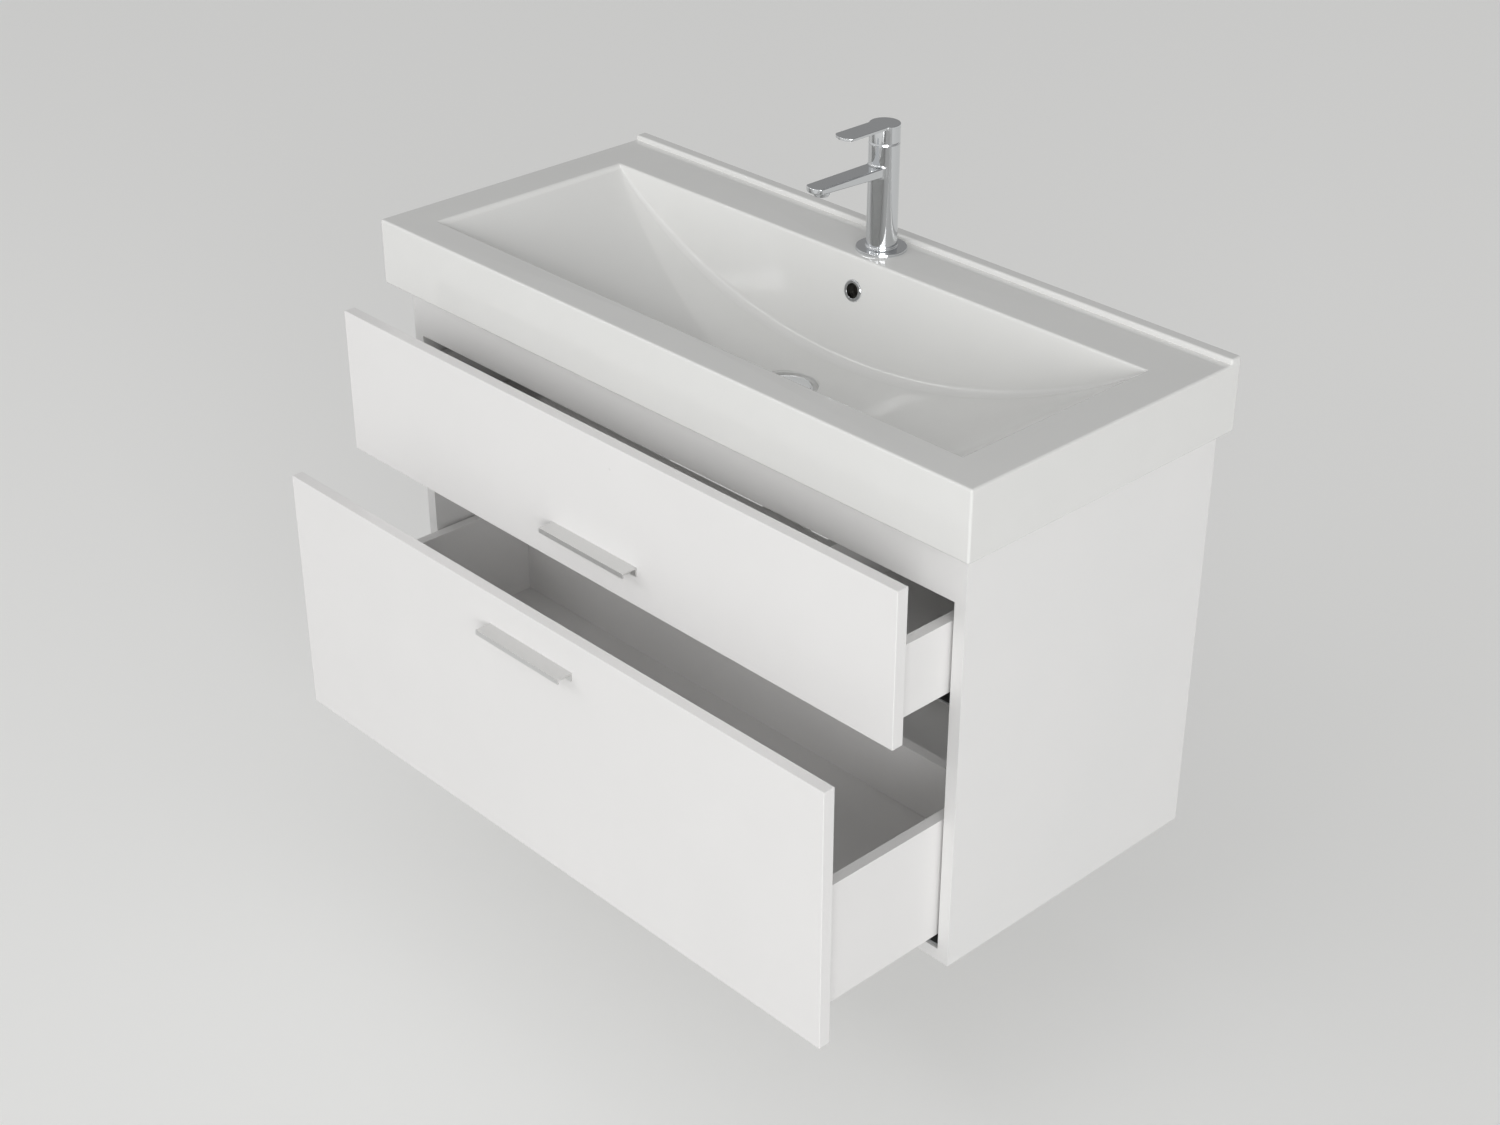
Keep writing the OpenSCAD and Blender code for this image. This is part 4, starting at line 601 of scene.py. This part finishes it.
def washbasin():
    """One-piece fireclay basin: bowl, deck, apron and ridge in one skin, with the overflow
    channel and the seat of the waste on its underside."""
    end = BOWL_HALF - 8 * MM
    sweep = np.sin(np.linspace(-np.pi / 2, np.pi / 2, 161)) * end
    ends = np.linspace(end, BOWL_HALF + RIM_R, 18)[1:]
    inner = bowl_rows(np.concatenate([-ends[::-1], sweep, ends]))
    inner[[0, -1], :, 2] = DECK_Z
    # the underside ends where the bowl is too shallow to stand out below the deck
    under_x = np.sin(np.linspace(-np.pi / 2, np.pi / 2, 81)) * (BOWL_HALF - 16 * MM)
    outer = bowl_rows(under_x, BASIN_WALL, wall_steps=3, crease_steps=8, floor_steps=4)
    outer[..., 0] *= (BOWL_HALF + BASIN_WALL) / BOWL_HALF
    lid = outer[[0, -1]].copy()
    lid[..., 2] = DECK_Z - BASIN_WALL
    outer = np.concatenate([lid[:1], outer, lid[1:]])
    points, faces = [], []
    for grid, ring in ((inner, False), (outer, False), (basin_outside(), True)):
        faces += grid_faces(grid.shape[0], grid.shape[1], len(points), close_columns=ring)
        points += grid.reshape(-1, 3).tolist()
    base = raw_object("basin_skin", points, faces, GLAZE, merge=2e-6, sliver=1e-6,
                      levels=(DECK_Z, DECK_Z - BASIN_WALL))

    low, high = BASIN_LOW, BASIN_HIGH
    ridge = raw_object("ridge", *closed_stack(eased_loops(
        (low.x + HAIR, -RIDGE_T), (high.x - HAIR, high.y - HAIR), DECK_Z - BASIN_WALL * 0.7,
        high.z, BASIN_EDGE_R)), GLAZE)
    waste = (0, -WASTE_Y, 0)
    boss_low = FLOOR_Z - BASIN_WALL - BOSS_DROP
    boss = turned("boss", [(BOSS_D / 2, boss_low), (BOSS_D / 2, FLOOR_Z - 2 * MM)], waste, GLAZE)
    foot_r, lip_r = DISH_D / 2 - DISH_FOOT_R, DISH_D / 2 + DISH_LIP_R
    dish = turned("dish", np.concatenate([
        arc((foot_r, FLOOR_Z - DISH_DEPTH + DISH_FOOT_R), DISH_FOOT_R, -90, 0, 6),
        arc((lip_r, FLOOR_Z - DISH_LIP_R), DISH_LIP_R, 180, 90, 6),
        [(lip_r, FLOOR_Z + 6 * MM)]]), waste, GLAZE)
    drain = turned("drain", [(WASTE_HOLE_D / 2, boss_low - 5 * MM),
                             (WASTE_HOLE_D / 2, FLOOR_Z)], waste, GLAZE)
    tap_hole = turned("tap_hole", [(TAP_HOLE_D / 2, DECK_Z - 20 * MM),
                                   (TAP_HOLE_D / 2, DECK_Z + 5 * MM)], (0, TAP_Y, 0), GLAZE)
    # the channel and the overflow tube leave their cut faces in the fireclay painted dark as
    # painted shade
    channel = extruded_x("channel", duct_outline(0, -WASTE_Y + WASTE_HOLE_D / 4), DUCT_HALF, CLAY_PAINTED_SHADE)
    cover = extruded_x("cover", duct_outline(COVER_WALL, -WASTE_Y + DISH_D / 4),
                       DUCT_HALF + COVER_SIDE, GLAZE)
    tube_r = OVERFLOW_RING_D / 2 - 2 * MM
    overflow = turned("overflow", [(tube_r, -2 * MM), (tube_r, BASIN_WALL + 2 * MM)],
                      (0, OVERFLOW_Y, OVERFLOW_Z), CLAY_PAINTED_SHADE, tilt=-np.pi / 2 - BOWL_SLOPE, sides=64)
    mesh = carved(base, [("UNION", ridge), ("UNION", boss), ("UNION", cover),
                         ("DIFFERENCE", dish), ("DIFFERENCE", drain), ("DIFFERENCE", channel),
                         ("DIFFERENCE", overflow), ("DIFFERENCE", tap_hole)])
    basin = finish_piece("washbasin_glazed", mesh, "cabinet", ["washbasin"], smooth=55.0)


# ---------------------------------------------------------------- tap

def spout_rings():
    """Rings of the spout from inside the body to the tip. A ring is a rounded rectangle whose
    root is set back on the body, y = -sqrt(R^2 - x^2), and flares out to it in a quarter round."""
    r, flare, ease = 1.8 * MM, 3.0 * MM, 1.2 * MM
    half = SPOUT_W / 2 - r
    turn = np.radians(np.linspace(0, 90, 8))
    flat = np.linspace(1, -1, 15)[1:-1] * half
    core = np.concatenate([np.full(len(turn), half), flat, np.full(len(turn), -half)])
    out_x = np.concatenate([np.cos(turn), np.zeros(len(flat)), -np.cos(turn[::-1])])
    out_z = np.concatenate([np.sin(turn), np.ones(len(flat)), np.sin(turn[::-1])])
    upper = np.concatenate([np.ones(len(core)), -np.ones(len(core))])
    core, out_x = np.concatenate([core, core[::-1]]), np.concatenate([out_x, out_x[::-1]])
    out_z = np.concatenate([out_z, -out_z[::-1]])
    hub = SPOUT_REACH - SPOUT_TIP_R

    def ring(grow, place):
        """Ring of the spout's section, grown all round, with y = place(x)."""
        x = core + out_x * (r + grow)
        y = place(x)
        rise = (SPOUT_T - SPOUT_TIP_T) * np.clip((-y - TAP_R) / (SPOUT_REACH + MM - TAP_R), 0, 1)
        middle = np.where(upper > 0, SPOUT_Z - r, SPOUT_Z - SPOUT_T + rise + r)
        return np.stack([x, TAP_Y + y, middle + out_z * (r + grow)], axis=1)

    def root(x, ahead):
        """The body's face, or a face so far ahead of it."""
        return -np.sqrt(TAP_R**2 - x**2) - ahead

    def tip(x, back):
        """The tip's arc, or an arc so far back from it."""
        return -hub - np.sqrt(SPOUT_TIP_R**2 - x**2) + back

    rings = [ring(flare, lambda x: root(x, -6 * MM))]
    for a in np.radians(np.linspace(0, 90, 9)):
        rings.append(ring(flare * (1 - np.sin(a)), lambda x: root(x, flare * (1 - np.cos(a)))))
    for t in np.linspace(0, 1, 26)[1:-1]:
        rings.append(ring(0, lambda x: root(x, flare) * (1 - t) + tip(x, ease) * t))
    for a in np.radians(np.linspace(0, 90, 7)):
        rings.append(ring(-ease * (1 - np.cos(a)), lambda x: tip(x, ease * (1 - np.sin(a)))))
    return np.array(rings)


def ladder(count, start=0, flip=False):
    """Quads that close a ring whose second half mirrors its first, rung by rung."""
    half = count // 2
    rungs = [(start + k, start + k + 1, start + count - 2 - k, start + count - 1 - k)
             for k in range(half - 1)]
    return [rung[::-1] for rung in rungs] if flip else rungs


def joined(name, meshes, material):
    """One mesh of several, in one material."""
    form = bmesh.new()
    for mesh in meshes:
        form.from_mesh(mesh)
    mesh = bpy.data.meshes.new(name)
    form.to_mesh(mesh)
    form.free()
    mesh.materials.append(material)
    return mesh


def tap_body():
    """Mixer body turned from bar, with its foot collar, and the flat spout that grows out of it."""
    rings = spout_rings()
    count = rings.shape[1]
    faces = grid_faces(len(rings), count, close_columns=True)
    faces += ladder(count) + ladder(count, (len(rings) - 1) * count, flip=True)
    spout = raw_object("spout", rings.reshape(-1, 3), faces, CHROME)
    seat_r = AERATOR_D / 2 + 0.1 * MM
    seat = turned("seat", [(seat_r, SPOUT_Z - SPOUT_T - 2 * MM), (seat_r, SEAT_TOP)],
                  (0, AERATOR_Y, 0), CHROME)
    spout_mesh = carved(spout, [("DIFFERENCE", seat)])

    ease, hollow, lip = 0.4 * MM, 2.2 * MM, 0.6 * MM
    floor_z = PIVOT_Z - CARTRIDGE_DEPTH
    profile = np.concatenate([
        [(ON_AXIS, DECK_Z), (TAP_R, DECK_Z), (TAP_R, FOOT_Z)],
        arc((COLLAR_R - lip, FOOT_Z + lip), lip, -90, 0, 4),
        arc((TAP_R + hollow, FOOT_Z + 3.4 * MM), hollow, 236, 180, 6),
        arc((TAP_R - ease, SEAM_Z - ease), ease, 0, 90, 4),
        [(CARTRIDGE_R, SEAM_Z), (CARTRIDGE_R, floor_z), (ON_AXIS, floor_z)]])
    body = turned("body", profile, (0, TAP_Y, 0), CHROME, sides=144)
    holes = [turned("inlet", [(INLET_D / 2, DECK_Z - MM), (INLET_D / 2, DECK_Z + INLET_DEPTH)],
                    (x, INLET_Y, 0), CHROME, sides=32) for x in (-INLET_X, INLET_X)]
    body_mesh = carved(body, [("DIFFERENCE", hole) for hole in holes])
    mesh = joined("tap_body_chromed", [body_mesh, spout_mesh], CHROME)
    piece = finish_piece("tap_body_chromed", mesh, "cabinet", ["tap_body"], smooth=40.0)


def lever_outline():
    """Plan of the lever and its cap about the tap's axis, anticlockwise from the tip: the tip's
    arc, a small corner, the straight side, the hollow neck, the cap's circle, and back."""
    w, corner, neck = LEVER_W / 2, LEVER_CORNER_R, LEVER_NECK_R
    hub = LEVER_REACH - LEVER_TIP_R
    corner_y = -hub - np.sqrt((LEVER_TIP_R - corner)**2 - (w - corner)**2)
    start = np.degrees(np.arctan2(corner_y + hub, w - corner))
    neck_x = w + neck
    neck_y = -np.sqrt((TAP_R + neck)**2 - neck_x**2)
    meet = np.degrees(np.arctan2(neck_y, neck_x))
    right = np.concatenate([
        arc((0, -hub), LEVER_TIP_R, -90, start, 20),
        arc((w - corner, corner_y), corner, start, 0, 8)[1:],
        arc((neck_x, neck_y), neck, 180, 180 + meet, 8),
        arc((0, 0), TAP_R, meet, 90, 40)[1:]])
    left = right[1:-1][::-1] * [-1, 1]
    return np.concatenate([right, left])


def tap_lever():
    """Lever: a thin flat plate with softened edges on a cap that is hollow over the cartridge."""
    plan = lever_outline()
    along = np.roll(plan, -1, axis=0) - np.roll(plan, 1, axis=0)
    inward = np.stack([-along[:, 1], along[:, 0]], axis=1)
    inward /= np.linalg.norm(inward, axis=1)[:, None]
    base = LEVER_HIGH.z - LEVER_T
    # the lower edge is eased ahead of the cap only, from 13 mm off the axis to the full at 17 mm
    ahead = np.clip((-plan[:, 1] - 13 * MM) / (4 * MM), 0, 1)
    low, top = 0.5 * MM * ahead, 0.8 * MM
    loops = []
    for a in np.radians(np.linspace(0, 90, 5)):
        spot = plan + inward * (low * (1 - np.sin(a)))[:, None]
        loops.append(np.column_stack([spot, base + low * (1 - np.cos(a))]))
    for a in np.radians(np.linspace(0, 90, 7)):
        spot = plan + inward * top * (1 - np.cos(a))
        height = base + LEVER_T - top * (1 - np.sin(a))
        loops.append(np.column_stack([spot, np.full(len(plan), height)]))
    points, faces = closed_stack(loops)
    plate = raw_object("plate", points + np.array([0, TAP_Y, 0]), faces, CHROME)

    dome = np.hypot(TAP_R, PIVOT_DROP) + DOME_GAP
    ease = 0.3 * MM
    edge = np.degrees(np.arccos((TAP_R - ease) / dome))
    profile = np.concatenate([
        arc((0, PIVOT_Z), dome, 90, edge, 24)[1:],
        [(TAP_R, PIVOT_Z + dome * np.sin(np.radians(edge)) + ease), (TAP_R, base),
         (ON_AXIS, base)]])
    cap = turned("cap", profile, (0, TAP_Y, 0), CHROME, sides=144)
    mesh = joined("tap_lever_chromed", [plate.data, cap.data], CHROME)
    for scrap in (plate, cap):
        bpy.data.objects.remove(scrap)
    piece = finish_piece("tap_lever_chromed", mesh, "tap_lever", ["tap_handle"], smooth=40.0)


# ---------------------------------------------------------------- carried-over solids

EASE = 0.3 * MM
# an edge bends by more than the first angle, faces within the second count as one flat
EDGE_ANGLE = np.radians(35.0)
FLAT_ANGLE = np.radians(0.3)


def merged_form():
    """Geometry group that merges a solid's loose triangles and drops its packed normals, then
    shades it smooth but for its edges."""
    group = bpy.data.node_groups.new("merged_form", "GeometryNodeTree")
    group.interface.new_socket("Geometry", in_out="INPUT", socket_type="NodeSocketGeometry")
    group.interface.new_socket("Geometry", in_out="OUTPUT", socket_type="NodeSocketGeometry")
    nodes, links = group.nodes, group.links
    source = nodes.new("NodeGroupInput")
    bare = nodes.new("GeometryNodeRemoveAttribute")
    bare.inputs["Name"].default_value = "custom_normal"
    merge = nodes.new("GeometryNodeMergeByDistance")
    merge.inputs["Distance"].default_value = 0.01 * MM
    faces = nodes.new("GeometryNodeSetShadeSmooth")
    edges = nodes.new("GeometryNodeSetShadeSmooth")
    edges.domain = "EDGE"
    bend = nodes.new("GeometryNodeInputMeshEdgeAngle")
    soft = nodes.new("FunctionNodeCompare")
    soft.operation = "LESS_THAN"
    soft.inputs["B"].default_value = EDGE_ANGLE
    target = nodes.new("NodeGroupOutput")
    links.new(source.outputs[0], bare.inputs["Geometry"])
    links.new(bare.outputs["Geometry"], merge.inputs["Geometry"])
    links.new(merge.outputs["Geometry"], faces.inputs["Geometry"])
    links.new(faces.outputs["Geometry"], edges.inputs["Geometry"])
    links.new(bend.outputs["Unsigned Angle"], soft.inputs["A"])
    links.new(soft.outputs["Result"], edges.inputs["Shade Smooth"])
    links.new(edges.outputs["Geometry"], target.inputs[0])
    return group


MERGED_FORM = merged_form()


def dress(node):
    """Gives a solid its finish and, by modifiers alone, merged faces and eased edges."""
    solid = frame["nodes"][node]
    for place in solid.material_slots:
        place.material = SLOT_MATERIALS[NODE_SLOT[node]]
    solid.modifiers.new("merged", "NODES").node_group = MERGED_FORM
    flat = solid.modifiers.new("flat_faces", "DECIMATE")
    flat.decimate_type = "DISSOLVE"
    flat.angle_limit = FLAT_ANGLE
    bevel = solid.modifiers.new("eased", "BEVEL")
    bevel.width = EASE
    bevel.segments = 2
    bevel.limit_method = "ANGLE"
    bevel.angle_limit = EDGE_ANGLE
    bevel.use_clamp_overlap = True
    solid.modifiers.new("even_normals", "WEIGHTED_NORMAL").keep_sharp = True


# ---------------------------------------------------------------- studio

EYE = (1.8741, -2.0463, 1.2510)
VIEW = (-0.630893, 0.596201, -0.496505)
LENS, SENSOR = 57.35, 36.0
FLOOR_DROP = 0.86
FLOOR_HALF = 12.0
FLOOR_LIFT = 0.3
ROOM_LOW, ROOM_HIGH, ROOM_BACK = 0.75, 0.6, 0.45
# each lamp's name, place, aim, width and height, and power
SOFTBOXES = (
    ("window_softbox", (-0.9, -3.0, 1.75), (0, -0.2, 0), (4.4, 0.18), 16),
    ("key_softbox", (9.3, -7.3, 2.7), (0.1, -0.3, -0.1), (8.0, 5.0), 740),
)


def looking(place, direction):
    """Matrix that puts a camera or lamp at place and turns it to look along a direction."""
    turn = Vector(direction).to_track_quat("-Z", "Y").to_matrix().to_4x4()
    return Matrix.Translation(Vector(place)) @ turn


def camera():
    """Camera at the photograph's viewpoint: about three metres off at the right front, looking
    thirty degrees down, with a short telephoto lens."""
    data = bpy.data.cameras.new("camera")
    data.lens = LENS
    data.sensor_width = SENSOR
    data.clip_end = 60.0
    eye = linked("camera", data)
    eye.matrix_world = looking(EYE, VIEW)
    bpy.context.scene.camera = eye


def softbox(name, place, aim, size, power):
    """Rectangular area lamp at place, turned to aim."""
    lamp = bpy.data.lights.new(name, "AREA")
    lamp.shape = "RECTANGLE"
    lamp.size, lamp.size_y = size
    lamp.energy = power
    linked(name, lamp).matrix_world = looking(place, Vector(aim) - Vector(place))


def seen_directly(owner):
    """1 for rays that look straight or by reflection or through glass, else 0."""
    path = add(owner, "ShaderNodeLightPath")
    mirrored = add(owner, "ShaderNodeMath", {"operation": "MAXIMUM"},
                   {0: path.outputs["Is Glossy Ray"], 1: path.outputs["Is Transmission Ray"]})
    return add(owner, "ShaderNodeMath", {"operation": "MAXIMUM"},
               {0: path.outputs["Is Camera Ray"], 1: mirrored})


def floor():
    """Pale plain floor well below the cabinet, as under a wall-hung vanity."""
    z, half = DECK_Z - FLOOR_DROP, FLOOR_HALF
    points = [(-half, -half, z), (half, -half, z), (half, half, z), (-half, half, z)]
    mesh = bpy.data.meshes.new("studio_floor")
    mesh.from_pydata(points, [], [(0, 1, 2, 3)])
    ground = linked("studio_floor", mesh)
    paint, _ = new_material("studio_floor")
    lift = add(paint, "ShaderNodeMath", {"operation": "MULTIPLY"},
               {0: seen_directly(paint), 1: FLOOR_LIFT})
    finish_material(paint, {"Base Color": linear("#d5d5d4"), "Roughness": 0.8, "IOR": 1.4,
                            "Emission Color": linear("#e8e8e6"), "Emission Strength": lift})
    mesh.materials.append(paint)


def world():
    """Plain room: bright towards the horizon on the room's side, dimmer overhead and behind."""
    room = bpy.data.worlds.new("studio")
    room.use_nodes = True
    room.node_tree.nodes.clear()
    around = add(room, "ShaderNodeSeparateXYZ", None,
                 {"Vector": add(room, "ShaderNodeTexCoord").outputs["Generated"]})
    height = add(room, "ShaderNodeMapRange", {"interpolation_type": "SMOOTHSTEP"},
                 {"Value": around.outputs["Z"], "From Min": 0.0, "From Max": 0.9,
                  "To Min": ROOM_LOW, "To Max": ROOM_HIGH})
    behind = add(room, "ShaderNodeMapRange", {"interpolation_type": "SMOOTHSTEP"},
                 {"Value": around.outputs["Y"], "From Min": -0.5, "From Max": 0.6,
                  "To Min": 1.0, "To Max": ROOM_BACK})
    level = add(room, "ShaderNodeMath", {"operation": "MULTIPLY"}, {0: height, 1: behind})
    light = add(room, "ShaderNodeBackground", None,
                {"Color": linear("#f9f9f9"), "Strength": level})
    add(room, "ShaderNodeOutputWorld", None, {"Surface": light})
    bpy.context.scene.world = room


washbasin()
tap_body()
tap_lever()
for node in frame["nodes"]:
    if node not in REMADE:
        dress(node)
camera()
floor()
world()
for lamp in SOFTBOXES:
    softbox(*lamp)
bpy.context.scene.view_settings.view_transform = "Standard"
